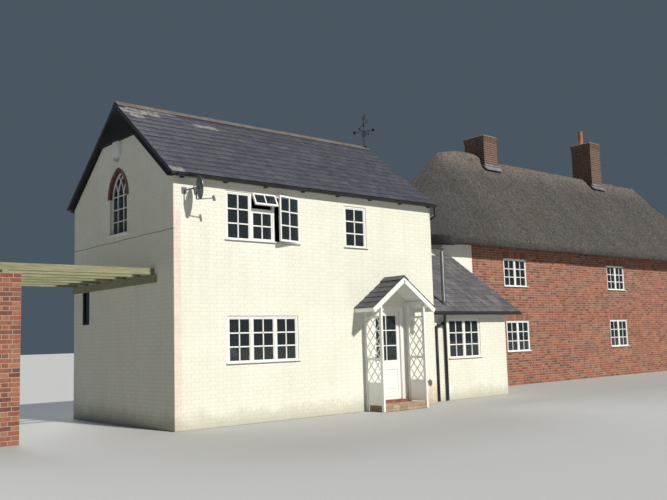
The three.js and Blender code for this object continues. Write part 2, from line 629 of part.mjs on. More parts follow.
function satelliteDish() {
  const { radius, bowl, skin, centre, turn, tilt, wall, post } = DISH;
  const curve = [0, 0.5, 0.8, 1];
  const back = curve.map((part) => new THREE.Vector2(part * radius, bowl * part * part - skin));
  const front = curve.slice().reverse().map((part) => new THREE.Vector2(part * radius, bowl * part * part));
  const dish = solidOf(new THREE.LatheGeometry([...back, ...front], 20));
  const arm = join(
    rod([0, -70, 0], [0, -2, 0], 32, 8),
    rod([0, -58, 0], [0, -48, -radius * 0.62], 26, 6),
    rod([0, -50, 0], [0, -38, -radius], 13, 6),
    rod([0, -40, -radius], [0, 285, -radius * 0.95], 10, 6),
    rod([0, 278, -radius * 0.75], [0, 292, -radius * 1.2], 27, 8),
  );
  const facing = join(dish, arm).rotate([tilt, 0, 0]).rotate([0, 0, turn]).translate(centre);
  const [px, pz] = wall;
  const heading = THREE.MathUtils.degToRad(turn);
  const postX = centre[0] + post * Math.sin(heading);
  const postY = centre[1] - post * Math.cos(heading);
  const bracket = join(
    block(px - 50, px + 50, -14, -GAP, pz - 60, pz + 60),
    rod([px, -8, pz], [postX, postY, pz], 16, 8),
    rod([postX, postY, pz - 30], [postX, postY, centre[2] + 30], 20, 8),
  );
  add("satellite_dish", join(facing, bracket), greyMetal);
}

// Four arms with plain plates at their tips, square to one another and built round the origin
function vaneArms() {
  const { arms, armReach, bar } = VANE;
  const half = bar / 2;
  const tips = [[1, 0], [-1, 0], [0, 1], [0, -1]].map(([dx, dy]) => {
    const cx = dx * armReach;
    const cy = dy * armReach;
    const reachX = dx ? 30 : 3;
    const reachY = dy ? 30 : 3;
    return block(cx - reachX, cx + reachX, cy - reachY, cy + reachY, arms - 35, arms + 35);
  });
  return join(
    block(-armReach, armReach, -half, half, arms - half, arms + half),
    block(-half, half, -armReach, armReach, arms - half, arms + half),
    tips,
  );
}

// Two crossed hoops of flat iron round the pole, below the arms
function vaneScrolls() {
  const { z, half, height, strip } = SCROLL;
  const hoop = (inset) => {
    const shape = new THREE.Shape();
    shape.absellipse(0, z, half - inset, height - inset, 0, 2 * Math.PI, false);
    return shape;
  };
  const across = cut(prismY(hoop(0), -strip / 2, strip / 2, 8), prismY(hoop(strip), -strip, strip, 8));
  return join(across, across.rotate([0, 0, 90]));
}

function weathervane() {
  const { x, pole, poleTop, armTurn, plate, bore, hub, heading } = VANE;
  const y = WING_MIDDLE;
  const ridgeTop = WING_APEX + RIDGE_TILE.depth;
  const saddleFoot = ridgeTop - WING_SLOPE * 60 + GAP;
  const saddle = outline([[y - 60, saddleFoot], [y, ridgeTop + GAP], [y + 60, saddleFoot],
    [y + 60, saddleFoot + 12], [y + 14, ridgeTop + 26], [y - 14, ridgeTop + 26], [y - 60, saddleFoot + 12]]);
  add("weathervane_mast", join(
    prismX(saddle, x - 70, x + 70),
    rod([x, y, ridgeTop + 10], [x, y, poleTop], pole),
    join(vaneArms(), vaneScrolls()).rotate([0, 0, armTurn]).translate([x, y, 0]),
  ), ironwork);
  const sleeve = cut(
    rod([0, 0, poleTop - 60], [0, 0, poleTop + 30], hub, 12),
    rod([0, 0, poleTop - 80], [0, 0, poleTop + GAP], bore, 12),
  );
  const beam = block(-250, 250, -5, 5, poleTop + 5, poleTop + 17);
  const head = outline([[240, poleTop - 34], [310, poleTop + 11], [240, poleTop + 56]]);
  const tail = outline([[-240, poleTop + 7], [-310, poleTop - 45], [-350, poleTop - 45], [-330, poleTop + 11],
    [-350, poleTop + 67], [-310, poleTop + 67], [-240, poleTop + 15]]);
  const shapes = [head, tail, cockerelOutline(poleTop + 20)];
  const plates = shapes.map((shape) => prismY(shape, -plate / 2, plate / 2, 4));
  const pointer = join(sleeve, beam, plates).rotate([0, 0, heading]).translate([x, y, 0]);
  add("weathervane_pointer", pointer, ironwork);
}

// A plain cockerel outline, standing on a short post at the given height
function cockerelOutline(z) {
  const points = [
    [-8, 0], [8, 0], [8, 70], [55, 95], [88, 150], [90, 205], [112, 222], [92, 236], [86, 262], [66, 270], [52, 246],
    [40, 190], [0, 168], [-45, 190], [-62, 236], [-100, 262], [-138, 232], [-128, 172], [-90, 118], [-40, 84], [-8, 70],
  ];
  return outline(points.map(([dx, dz]) => [dx, z + dz]));
}

// Slated link between the wing and the range
function link() {
  const start = WING_LENGTH + GAP;
  const inner = LINK.front + BRICK_WALL;
  const front = outline([[LINK.front, 0], [inner, 0], [inner, linkRoofUnder(inner)],
    [LINK.front, linkRoofUnder(LINK.front)]]);
  const end = outline([[LINK.front, 0], [RANGE.front - GAP, 0], [RANGE.front - GAP, linkRoofUnder(LINK.apexY)],
    [LINK.apexY, linkRoofUnder(LINK.apexY)], [LINK.front, linkRoofUnder(LINK.front)]]);
  const hole = windowHole(LINK_WINDOW, LINK.front, -1, BRICK_WALL);
  const endWall = prismX(end, LINK.right - BRICK_WALL, LINK.right);
  const frontWall = prismX(front, start, LINK.right - BRICK_WALL + 5);
  add("link_front_wall", join(cut(frontWall, hole), endWall), creamPaint);
  const backIn = WING_DEPTH - BRICK_WALL;
  const back = outline([[backIn, 0], [WING_DEPTH, 0], [WING_DEPTH, linkRoofUnder(WING_DEPTH)],
    [backIn, linkRoofUnder(backIn)]]);
  add("link_rear_wall", prismX(back, start, RANGE.left - GAP), creamPaint);
  const frontSlope = slopeProfile(LINK.eaveY, LINK.apexY - GAP / 2, linkRoofTop);
  add("link_roof_front", prismX(frontSlope, start, LINK.verge), slate);
  const rearSlope = slopeProfile(LINK.rearEave, LINK.apexY + GAP / 2, linkRoofTop);
  add("link_roof_rear", prismX(rearSlope, start, RANGE.left - GAP), slate);
  const windowMiddle = (LINK_WINDOW.x0 + LINK_WINDOW.x1) / 2;
  add("link_window", glazedWindow(LINK_WINDOW, [windowMiddle], LINK.front, -1), whitePaint);
  const rim = LINK.eave - EAVE_LIP.depth - GAP;
  const rimY = LINK.eaveY - GUTTER_OUT;
  const bracketBack = LINK.front - GAP;
  const brackets = [0.06, 0.35, 0.65, 0.94].map((part) => {
    const x = start + part * (LINK.verge - start - 500);
    return block(x - 20, x + 20, rimY + GUTTER_RADIUS - GUTTER_WALL, bracketBack, rim - 50, rim - 4);
  });
  const pipeY = bracketBack - PIPE_RADIUS - 12;
  const { outlet, x: pipeX } = LINK_PIPE;
  const drop = pipe([[outlet, rimY, rim - GUTTER_RADIUS + 8], [outlet, rimY, rim - 110],
    [pipeX, pipeY, rim - 310], [pipeX, pipeY, 12]], PIPE_RADIUS);
  const { x, branch, elbow } = CORNER_PIPE;
  const cornerDrop = pipe([[pipeX, pipeY, branch], [x, pipeY, elbow], [x, pipeY, 12]], PIPE_RADIUS);
  add("link_gutter", join(gutterRun(rimY, rim, start + 4, LINK.verge), brackets, drop, cornerDrop), blackPaint);
  linkFlue();
}

function linkFlue() {
  const { x, y, radius, top, cap } = LINK_FLUE;
  const shaft = rod([x, y, linkRoofTop(y) - 200], [x, y, top], radius, 12);
  const collar = rod([x, y, linkRoofTop(y) - 200], [x, y, linkRoofTop(y + radius) + 60], radius + 22, 12);
  const tip = rod([x, y, top - 2], [x, y, top + 70], radius * 0.55, 10);
  const lid = rod([x, y, top + 68], [x, y, top + 80], cap, 12);
  const under = outline([[y - 300, 0], [y + 300, 0], [y + 300, linkRoofTop(y + 300) + GAP],
    [y - 300, linkRoofTop(y - 300) + GAP]]);
  add("link_flue", cut(join(shaft, collar, tip, lid), prismX(under, x - 300, x + 300)), greyMetal);
}

// Thatched range
function thatchRing(level, lowered) {
  const mix = (a, b) => a + (b - a) * level;
  const outerHalf = (RANGE.back - RANGE.front) / 2 + THATCH.overhang;
  const half = mix(outerHalf, THATCH_TOP_HALF);
  const leftEave = RANGE.left - THATCH.endOverhang;
  const rightEave = RANGE_RIGHT + THATCH.endOverhang;
  const hip = THATCH.hipRun * (1 - (1 - level) ** HIP_SWEEP);
  const x0 = leftEave + hip;
  const x1 = rightEave - hip;
  const { eave, top, roundBy, most } = THATCH_CORNER;
  const radius = half * most * (eave + (top - eave) * Math.min(1, level / roundBy));
  const z = mix(THATCH.eave, THATCH.ridge) - lowered;
  const corners = [[x1 - radius, RANGE_RIDGE_Y - half + radius, -90], [x1 - radius, RANGE_RIDGE_Y + half - radius, 0],
    [x0 + radius, RANGE_RIDGE_Y + half - radius, 90], [x0 + radius, RANGE_RIDGE_Y - half + radius, 180]];
  const steps = 6;
  return corners.flatMap(([cx, cy, start]) => Array.from({ length: steps + 1 }, (_, index) => {
    const angle = THREE.MathUtils.degToRad(start + 90 * index / steps);
    return [cx + radius * Math.cos(angle), cy + radius * Math.sin(angle), z];
  }));
}

// Rings of equal length, joined in order and closed at both ends
function loft(rings) {
  const count = rings[0].length;
  const indices = [];
  for (let ring = 0; ring < rings.length - 1; ring += 1) {
    for (let step = 0; step < count; step += 1) {
      const a = ring * count + step;
      const b = ring * count + (step + 1) % count;
      indices.push(a, b, b + count, a, b + count, a + count);
    }
  }
  const last = (rings.length - 1) * count;
  for (let step = 1; step < count - 1; step += 1) {
    indices.push(0, step + 1, step);
    indices.push(last, last + step, last + step + 1);
  }
  const geometry = new THREE.BufferGeometry();
  geometry.setAttribute("position", new THREE.Float32BufferAttribute(rings.flat(2), 3));
  geometry.setIndex(indices);
  return solidOf(geometry);
}

function thatchUnderside(lowered) {
  const underLevel = (THATCH.under - THATCH.eave + THATCH.drop) / (THATCH.ridge - THATCH.eave);
  return [1, 0.5, underLevel].map((level) => thatchRing(level, THATCH.drop + lowered));
}

function thatchSolid() {
  const outer = [0, 0.25, 0.5, 0.75, 1].map((level) => thatchRing(level, 0));
  return loft([...thatchUnderside(0), ...outer]);
}

// Everything above the thatch's underside, a gap lower, for trimming the wall heads
function aboveWalls() {
  return loft([...thatchUnderside(GAP), thatchRing(0, GAP), thatchRing(0, -WALL_HEAD)]);
}

function stack({ x, top }, foot, grow) {
  return block(x - grow, x + STACK.width + grow, STACK.front - grow, STACK.back + grow, foot, top);
}

function chimney(name, place, hasPot) {
  const { capProud, capDepth } = STACK;
  const body = stack(place, FLOOR_TOP + GAP, 0);
  const crown = place.top - capDepth;
  const steps = [[0.3, 0.35], [0.62, 0.7], [0.85, 1]];
  const courses = steps.map(([height, proud], index) =>
    stack({ x: place.x, top: crown + capDepth * height }, crown + capDepth * 0.3 * index, capProud * proud));
  const pieces = [body, ...courses];
  if (hasPot) {
    const { y, radius, height } = CHIMNEY_POT;
    const potX = place.x + STACK.width / 2;
    pieces.push(rod([potX, y, place.top - 20], [potX, y, place.top + height], radius, 14));
  }
  add(name, join(pieces), redBrick);
}

// The thicker length of ridge beside the left chimney
function ridgeHump() {
  const { x, z, length, width, height } = RIDGE_HUMP;
  const hump = new THREE.SphereGeometry(1, 20, 12);
  hump.scale(length, width, height);
  hump.translate(x, RANGE_RIDGE_Y, z);
  return solidOf(hump);
}

function rangeRoof() {
  const shafts = [LEFT_STACK, RIGHT_STACK].map((place) => stack(place, 0, GAP));
  add("thatch_roof", cut(join(thatchSolid(), ridgeHump()), shafts), thatchStraw);
  chimney("left_chimney", LEFT_STACK, false);
  chimney("right_chimney", RIGHT_STACK, true);
}

function rangeOpenings(sill, head) {
  return [-RANGE_WINDOW_REACH, 0, RANGE_WINDOW_REACH].map((offset) => ({
    x0: RANGE_MIDDLE + offset - RANGE_WINDOW_WIDTH / 2,
    x1: RANGE_MIDDLE + offset + RANGE_WINDOW_WIDTH / 2,
    z0: sill,
    z1: head,
  }));
}

const UPPER_OPENINGS = rangeOpenings(RANGE_UPPER_SILL, RANGE_UPPER_HEAD);
const LOWER_OPENINGS = rangeOpenings(RANGE_LOWER_SILL, RANGE_LOWER_HEAD);

// One row of windows, whose panes are one sheet on the room side of the wall
function windowRow(name, openings, face, outward) {
  const at = facade(face, outward);
  const inside = RANGE.wall + GAP;
  const frames = openings.map((opening) =>
    windowFrame(opening, [(opening.x0 + opening.x1) / 2], face, outward, inside + 2));
  const first = openings[0];
  const last = openings[openings.length - 1];
  const sheet = at(first.x0 - 60, last.x1 + 60, first.z0 - 20, first.z1 + 20, inside, inside + FRAME.paneThick);
  add(name, join(sheet, frames), whitePaint);
}

function rangeWalls() {
  const above = aboveWalls();
  const { left, front, back, wall } = RANGE;
  const right = RANGE_RIGHT;
  const holes = (face, outward) => [...UPPER_OPENINGS, ...LOWER_OPENINGS].map((opening) =>
    windowHole(opening, face, outward, wall));
  const longWall = (y0, y1) => block(left, right, y0, y1, 0, WALL_HEAD);
  const endWall = (x0, x1) => block(x0, x1, front + wall + GAP, back - wall - GAP, 0, WALL_HEAD);
  add("range_front_wall", cut(longWall(front, front + wall), holes(front, -1), above), redBrick);
  add("range_back_wall", cut(longWall(back - wall, back), holes(back, 1), above), redBrick);
  add("range_left_wall", cut(endWall(left, left + wall), above), creamPaint);
  add("range_right_wall", cut(endWall(right - wall, right), above), redBrick);
}

function rangeFloors() {
  const { left, front, back, wall } = RANGE;
  const room = [left + wall + GAP, RANGE_RIGHT - wall - GAP];
  const shafts = [LEFT_STACK, RIGHT_STACK].map((place) => stack(place, 1000, GAP));
  add("range_ground_floor", block(...room, front + wall + GAP, back - wall - GAP, 0, FLOOR_TOP), stone);
  const floor = block(...room, front + wall + GAP, back - wall - GAP, ...RANGE_UPPER_FLOOR);
  add("range_upper_floor", cut(floor, shafts), boards);
}

function rangeWindows() {
  windowRow("range_front_upper_windows", UPPER_OPENINGS, RANGE.front, -1);
  windowRow("range_front_lower_windows", LOWER_OPENINGS, RANGE.front, -1);
  windowRow("range_rear_upper_windows", UPPER_OPENINGS, RANGE.back, 1);
  windowRow("range_rear_lower_windows", LOWER_OPENINGS, RANGE.back, 1);
}

// Timber pergola against the gable wall, on two brick piers
function pergola() {
  const { beams, first, pitch, foot, depth, thick, left, ledgerDepth, plateDepth, notch } = PERGOLA;
  const last = first + pitch * (beams - 1);
  const rafters = Array.from({ length: beams }, (_, index) => {
    const y = first + pitch * index;
    return block(left, -GAP, y - thick / 2, y + thick / 2, foot, foot + depth);
  });
  const top = foot + notch;
  const ledger = block(-50 - GAP, -GAP, first - 120, last + 120, top - ledgerDepth, top);
  const plateX = (PIER.x0 + PIER.x1) / 2;
  const plate = block(plateX - 50, plateX + 50, first - 120, last + 120, top - plateDepth, top);
  add("pergola_beams", join(rafters, ledger, plate), weatheredOak);
  const head = top - plateDepth - GAP;
  for (const [name, y] of [["pergola_front_pier", first], ["pergola_rear_pier", last]]) {
    add(name, block(PIER.x0, PIER.x1, y - PIER.side / 2, y + PIER.side / 2, 0, head), redBrick);
  }
}

wingWalls();
wingFloors();
wingRoof();
wingBargeboards();
wingGutters();
wingWindows();
frontDoor();
porch();
alarmBox();
satelliteDish();
weathervane();
link();
rangeRoof();
rangeWalls();
rangeFloors();
rangeWindows();
pergola();

house.position.set(-WING_LENGTH / 2, -WING_DEPTH / 2, 0);

export default house;
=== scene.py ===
"""Thatched cottage with a slate-roofed wing: the looks around its fixed frame.

The script is laid out as a Blender add-on and is run as a script. Every size is in metres. Places are
given in the house's own layout, with its origin at the wing's near front corner on the ground, X along
the front, Y into the house and Z up, and each piece is shifted into the part's frame as it is made.
"""

import math

import bmesh
import bpy
import numpy as np
from mathutils import Matrix, Vector, noise
from mathutils.bvhtree import BVHTree


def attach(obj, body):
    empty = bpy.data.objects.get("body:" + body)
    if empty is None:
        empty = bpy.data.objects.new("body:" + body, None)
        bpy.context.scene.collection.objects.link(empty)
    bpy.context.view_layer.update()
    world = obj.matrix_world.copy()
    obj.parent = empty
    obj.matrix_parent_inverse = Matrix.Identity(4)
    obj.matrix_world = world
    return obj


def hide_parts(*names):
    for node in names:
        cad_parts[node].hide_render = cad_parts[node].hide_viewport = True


bl_info = {
    "name": "Thatched cottage",
    "version": (1, 0, 0),
    "blender": (4, 5, 0),
    "location": "View3D > Sidebar > Cottage",
    "description": "Dresses the cottage's frame with brickwork, slates, thatch and joinery",
    "category": "Object",
}

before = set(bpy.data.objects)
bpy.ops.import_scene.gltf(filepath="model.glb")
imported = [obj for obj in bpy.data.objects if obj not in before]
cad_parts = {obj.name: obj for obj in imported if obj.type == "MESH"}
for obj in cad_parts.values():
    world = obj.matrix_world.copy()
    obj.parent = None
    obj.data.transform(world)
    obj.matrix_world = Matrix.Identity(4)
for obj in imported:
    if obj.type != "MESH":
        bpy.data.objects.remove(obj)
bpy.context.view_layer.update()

# The house's layout. A slope is the rise over the run
SHIFT = Vector((-3.415, -2.15, 0.0))
WING_LENGTH = 6.83
WING_DEPTH = 4.3
WING_MIDDLE = 2.15
WING_SLOPE = 0.79560
WING_APEX = 6.42
WING_HEAD = 4.645
WING_SLATES_LEFT = -0.1
WING_SLATES_LENGTH = 7.0
FRONT_OVERHANG = 0.125
REAR_OVERHANG = 0.185
SLAB = 0.0603
LINK_FRONT = 0.359
LINK_RIGHT = 9.943
LINK_APEX_Y = 2.46
LINK_APEX = 3.793
LINK_SLOPE = 0.72983
RANGE_LEFT = 9.12
RANGE_RIGHT = 29.52
RANGE_FRONT = 2.51
RANGE_BACK = 7.74
RANGE_MIDDLE = 19.32
WALL_HEAD = 4.44
CORNER_HEAD = 3.98
CORNER_INSET = 0.95
RENDER_RIGHT = 11.35
SPINE = (13.1, 25.54, 5.125)
STRAW_AREA = ((8.7, 29.95), (1.97, 8.28))
THATCH = {"eave": (1.95, 4.40), "run": 3.065, "rise": 3.41}
STACKS = {"left_chimney": (14.92, 8.51), "right_chimney": (21.74, 9.2)}
STACK_Y = (4.65, 5.51)
STACK_WIDTH = 0.73
CAP = ((0.0105, 0, 0.063), (0.021, 0.063, 0.126), (0.03, 0.126, 0.1785))
CAP_DEPTH = 0.21
STACK_FOOT = 6.95
POT_Y = 5.28
FLUE = (7.65, 0.405)
PIER_X = (-2.965, -2.515)
PIER_Y = {"pergola_front_pier": 0.74, "pergola_rear_pier": 4.16}
RAFTERS = {"count": 7, "pitch": 0.57, "end": -3.085, "foot": 2.812, "head": 2.938}
GOTHIC = {"centre": 2.188, "half": 0.373, "radius": 0.556, "sill": 3.715, "spring": 4.49, "ring": 0.085}
DOOR = {
    "centre": 5.322, "half": 0.41, "pane": 0.328, "front": 0.065, "back": 0.109,
    "foot": 0.186, "head": 2.146,
}
DOORWAY = 0.508
THRESHOLD_TOP = 0.18
PORCH = {
    "centre": 5.258, "reach": 0.65, "wide": 0.05, "post": 0.07, "front": -0.547, "floor": 0.125,
    "apex": 2.84, "eave": 2.183, "eave_reach": 0.93, "verge": -0.615, "lattice": (0.603, 1.949),
}
TRIPLE = {"span": (1.117, 2.87), "height": (3.454, 4.408), "mullions": (1.701, 2.255), "transom": 4.058}
FANLIGHT = {"x": (1.727, 2.28), "top": 4.399, "height": 0.262, "angle": 25, "stile": 0.034, "thick": 0.038}
CASEMENT = {
    "x1": 2.867, "width": 0.6, "foot": 3.48, "top": 4.404, "angle": 13, "stile": 0.038, "thick": 0.04,
}
HINGE_FACE = 0.0117

# A window frame's stiles, foot rail, half mullion, and its front and back behind the wall's face
STILE, FOOT, HALF_MULLION, WOOD_FRONT, WOOD_BACK = 0.038, 0.027, 0.026, 0.014, 0.080

# How far the edges of glass and thin plates are eased
GLASS_EASE = 0.0005

# Windows as facing, the wall's face, span in the house's X or Y, sill and head, and mullions
UPPER = (3.465, 4.367)
LOWER = (1.128, 2.02)
REAR_SPAN = (2.575, 4.255)
REAR_MULLIONS = (3.135, 3.695)
WINDOWS = {
    "single_window": ("front", 0, (4.12, 4.752), UPPER, ()),
    "lower_window": ("front", 0, (1.12, 2.8), LOWER, (1.68, 2.24)),
    "wing_rear_upper_window": ("back", WING_DEPTH, REAR_SPAN, UPPER, REAR_MULLIONS),
    "wing_rear_lower_window": ("back", WING_DEPTH, REAR_SPAN, LOWER, REAR_MULLIONS),
    "link_window": ("front", LINK_FRONT, (7.718, 8.918), (0.984, 1.958), (8.318,)),
    "slot_window": ("left", 0, (3.526, 3.874), (1.985, 2.75), ()),
    "triple_window": ("front", 0, TRIPLE["span"], TRIPLE["height"], TRIPLE["mullions"]),
}
RANGE_STOREYS = {"upper": (2.99, 3.865), "lower": (1.0, 1.95)}
RANGE_MIDDLES = [RANGE_MIDDLE + offset for offset in (-5.89, 0, 5.89)]
RANGE_WINDOWS = [(middle - 0.575, middle + 0.575) for middle in RANGE_MIDDLES]

FACINGS = {
    "front": ((1, 0, 0), (0, 1, 0)),
    "back": ((-1, 0, 0), (0, -1, 0)),
    "left": ((0, -1, 0), (1, 0, 0)),
    "right": ((0, 1, 0), (-1, 0, 0)),
}

# Marks on walls, chimneys and thatch, in the part's frame: marks of age, and the darkening of the stacks'
# tops and of the thatch's left end. A pair is where each begins and ends
CORNER_STRIP = {"x": (-3.265, -3.275), "z": (4.3, 3.7)}
DOOR_FOOT = {"x": (2.6, 2.9), "z": (0.55, 0.2)}
FALLEN_PAINT = {"centre": (3.19, SHIFT.y, 0.48), "reach": (0.185, 0.2)}
CRACK = {"height": 3.6, "width": (0.007, 0.011)}
ALGAE_ON_ALARM = (5.29, 5.36)
STACK_TOP_DARKENING = (6.4, 7.6)
PALE_RIDGE = (7.35, 8.35)
LEFT_END_DARKENING = (6.0, 10.5)


def length_setting(name, description, default):
    return bpy.props.FloatProperty(name=name, description=description, default=default, unit="LENGTH")


def colour_setting(name, description, default):
    return bpy.props.FloatVectorProperty(
        name=name, description=description, default=default, subtype="COLOR")


class BrickworkSizes(bpy.types.PropertyGroup):
    """Sizes and colours of the brickwork"""

    length: length_setting("Brick and joint", "Length of a stretcher with its joint", 0.225)
    course: length_setting("Course", "Height of a course with its joint", 0.075)
    joint: length_setting("Joint", "Thickness of the mortar", 0.010)
    proud: length_setting("Relief", "How far a brick stands out of its joints", 0.004)
    brick: colour_setting("Brick", "Middle colour of the red bricks", (0.30, 0.098, 0.055))
    paint: colour_setting("Masonry paint", "Colour of the painted walls", (0.77, 0.765, 0.655))


class RoofSizes(bpy.types.PropertyGroup):
    """Sizes and colours of the slates and the thatch"""

    slate_width: length_setting("Slate width", "Width of one slate", 0.29)
    gauge: length_setting("Gauge", "Height of a slate that shows", 0.205)
    slate: colour_setting("Slate", "Middle colour of the slates", (0.062, 0.063, 0.083))
    straw: colour_setting("Straw", "Middle colour of the weathered thatch", (0.085, 0.074, 0.068))
    straw_cell: length_setting("Thatch cell", "Size of the thatch's surface cells", 0.075)


class JoinerySizes(bpy.types.PropertyGroup):
    """Sizes and colours of windows, door and timber"""

    bar: length_setting("Glazing bar", "Width of a glazing bar", 0.026)
    stile: length_setting("Sash stile", "Width of a sash's stiles and rails", 0.022)
    paint: colour_setting("White paint", "Colour of the painted joinery", (0.86, 0.86, 0.83))
    oak: colour_setting("Weathered oak", "Colour of the pergola timber", (0.34, 0.33, 0.20))


class StageSizes(bpy.types.PropertyGroup):
    """Floor and lights"""

    floor: colour_setting("Floor", "Colour of the studio floor", (0.44, 0.44, 0.43))
    key: bpy.props.FloatProperty(
        name="Key light", description="Strength of the main light", default=4.1, min=0)
    fill: bpy.props.FloatProperty(
        name="Sky light", description="Strength of the light from all round", default=0.12, min=0)


# Modelling helpers
def only_select(*objects):
    bpy.ops.object.select_all(action="DESELECT")
    for item in objects:
        item.select_set(True)
    if objects:
        bpy.context.view_layer.objects.active = objects[-1]


def new_object(name, data):
    item = bpy.data.objects.new(name, data)
    bpy.context.scene.collection.objects.link(item)
    return item


def apply_modifier(item, name, kind, **values):
    only_select(item)
    modifier = item.modifiers.new(name, kind)
    for key, value in values.items():
        setattr(modifier, key, value)
    bpy.ops.object.modifier_apply(modifier=modifier.name)


def axes(along, inward, up, origin):
    """A wall's own axes as a matrix"""
    matrix = Matrix((along, inward, up)).transposed().to_4x4()
    matrix.translation = Vector(origin) + SHIFT
    return matrix


HOUSE_AXES = axes((1, 0, 0), (0, 1, 0), (0, 0, 1), (0, 0, 0))


def wall_axes(facing, face):
    """Along the wall to the right as seen from outside, into it, and up"""
    along, inward = FACINGS[facing]
    origin = (face, 0, 0) if facing in ("left", "right") else (0, face, 0)
    return axes(along, inward, (0, 0, 1), origin)


def on_wall(facing, low, high):
    """A span of the house's X or Y as a span along the wall"""
    return (low, high) if facing in ("front", "right") else (-high, -low)


def top_axes(height):
    """Axes on a level top, with X along, the depth down and Y away"""
    return axes((1, 0, 0), (0, 0, -1), (0, 1, 0), (0, 0, height))


def slope_parts(slope):
    """The cosine and sine of a slope's angle"""
    angle = math.atan(slope)
    return math.cos(angle), math.sin(angle)


def select_near_face(block):
    """Picks a unit block's face towards minus Y, and gives its shape"""
    bpy.ops.mesh.select_all(action="DESELECT")
    shape = bmesh.from_edit_mesh(block.data)
    for face in shape.faces:
        if face.calc_center_median().y < -0.4:
            face.select_set(True)
    bmesh.update_edit_mesh(block.data)
    return shape


def taken_apart(block):
    """A modelled block's corners and faces, with the block removed"""
    bpy.ops.object.mode_set(mode="OBJECT")
    corners = np.array([v.co for v in block.data.vertices])
    faces = [tuple(p.vertices) for p in block.data.polygons]
    bpy.data.objects.remove(block)
    return corners, faces


def new_block():
    """A one metre block, open for modelling"""
    only_select()
    bpy.ops.mesh.primitive_cube_add(size=1)
    bpy.ops.object.mode_set(mode="EDIT")
    return bpy.context.object


def model_block(ease, face_only=False):
    """A one metre block with its edges eased, as its corners and faces"""
    block = new_block()
    if not face_only:
        bpy.ops.mesh.select_all(action="SELECT")
        bpy.ops.mesh.bevel(offset=ease, segments=1, affect="EDGES")
        return taken_apart(block)
    shape = select_near_face(block)
    bpy.ops.mesh.inset(thickness=ease, depth=ease)
    backs = [face for face in shape.faces if face.calc_center_median().y > 0.4]
    bmesh.ops.delete(shape, geom=backs, context="FACES")
    bmesh.update_edit_mesh(block.data)
    corners, faces = taken_apart(block)
    corners[:, 1] = np.where(corners[:, 1] < 0, corners[:, 1] + ease, corners[:, 1])
    return corners, faces


def piece_from(name, corners, faces, shades):
    """One piece from repeated units. corners is units by points by three, faces is one unit's"""
    units, points = corners.shape[:2]
    mesh = bpy.data.meshes.new(name)
    mesh.vertices.add(units * points)
    mesh.vertices.foreach_set("co", np.ascontiguousarray(corners, np.float32).ravel())
    flat = np.concatenate([np.array(face) for face in faces])
    loops = (flat[None, :] + points * np.arange(units)[:, None]).ravel()
    sizes = np.tile([len(face) for face in faces], units)
    starts = np.concatenate([[0], np.cumsum(sizes)[:-1]])
    mesh.loops.add(len(loops))
    mesh.loops.foreach_set("vertex_index", loops.astype(np.int32))
    mesh.polygons.add(len(sizes))
    mesh.polygons.foreach_set("loop_start", starts.astype(np.int32))
    mesh.update(calc_edges=True)
    mesh.validate()
    mesh.shade_flat()
    shade = mesh.attributes.new("shade", "FLOAT", "FACE")
    shade.data.foreach_set("value", np.repeat(np.asarray(shades, np.float32), len(faces)))
    return new_object(name, mesh)


def lay_blocks(name, boxes, matrix, ease=0.003, face_only=False, turns=None, seed=1, shades=None):
    """One piece of many eased blocks, given as low and high corners in the matrix's axes.

    turns is an axis and the angle that each block is turned about it.
    """
    corners, faces = model_block(ease, face_only)
    boxes = np.asarray(boxes, float)
    size = boxes[:, 1] - boxes[:, 0]
    centre = boxes.mean(1)
    inner = 0.5 - np.abs(corners)
    limit = np.minimum(1.0, 0.3 * size / ease)
    local = np.sign(corners)[None] * (size[:, None, :] / 2 - inner[None] * limit[:, None, :])
    if turns:
        axis, angles = turns
        rotations = np.array([Matrix.Rotation(angle, 3, axis) for angle in angles])
        local = np.einsum("nij,nkj->nki", rotations, local)
    local = local + centre[:, None, :]
    world = np.array(matrix)
    placed = local @ world[:3, :3].T + world[:3, 3]
    if shades is None:
        shades = np.random.default_rng(seed).random(len(boxes))
    return piece_from(name, placed, faces, shades)


def finish(item, look, body="house", nodes=()):
    """Gives a piece its material, body and the nodes that it stands for"""
    item.data.materials.clear()
    item.data.materials.append(FINISHES[look])
    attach(item, body)
    if nodes:
        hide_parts(*nodes)
    return item


def node_copy(node, name):
    """A copy of a CAD node with its seams merged"""
    item = new_object(name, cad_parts[node].data.copy())
    only_select(item)
    bpy.ops.mesh.customdata_custom_splitnormals_clear()
    bpy.ops.object.mode_set(mode="EDIT")
    bpy.ops.mesh.select_all(action="SELECT")
    bpy.ops.mesh.remove_doubles(threshold=1e-5)
    bpy.ops.mesh.dissolve_limited(angle_limit=math.radians(0.5))
    bpy.ops.object.mode_set(mode="OBJECT")
    return item


def ease_edges(item, width, segments=2, angle=35):
    apply_modifier(item, "eased edges", "BEVEL", width=width, segments=segments, limit_method="ANGLE",
                   angle_limit=math.radians(angle))


def smooth(item, angle=40):
    only_select(item)
    bpy.ops.object.shade_smooth_by_angle(angle=math.radians(angle))


def dressed_node(node, name, look, width, segments=2, body="house", angle=35):
    """A CAD node's copy with eased edges, which stands for it"""
    item = node_copy(node, name)
    if width:
        ease_edges(item, width, segments, angle)
    smooth(item)
    return finish(item, look, body, [node])


def merged(name, items):
    """Several pieces made one"""
    only_select(*items)
    bpy.ops.object.join()
    item = bpy.context.object
    item.name = name
    item.data.name = name
    return item


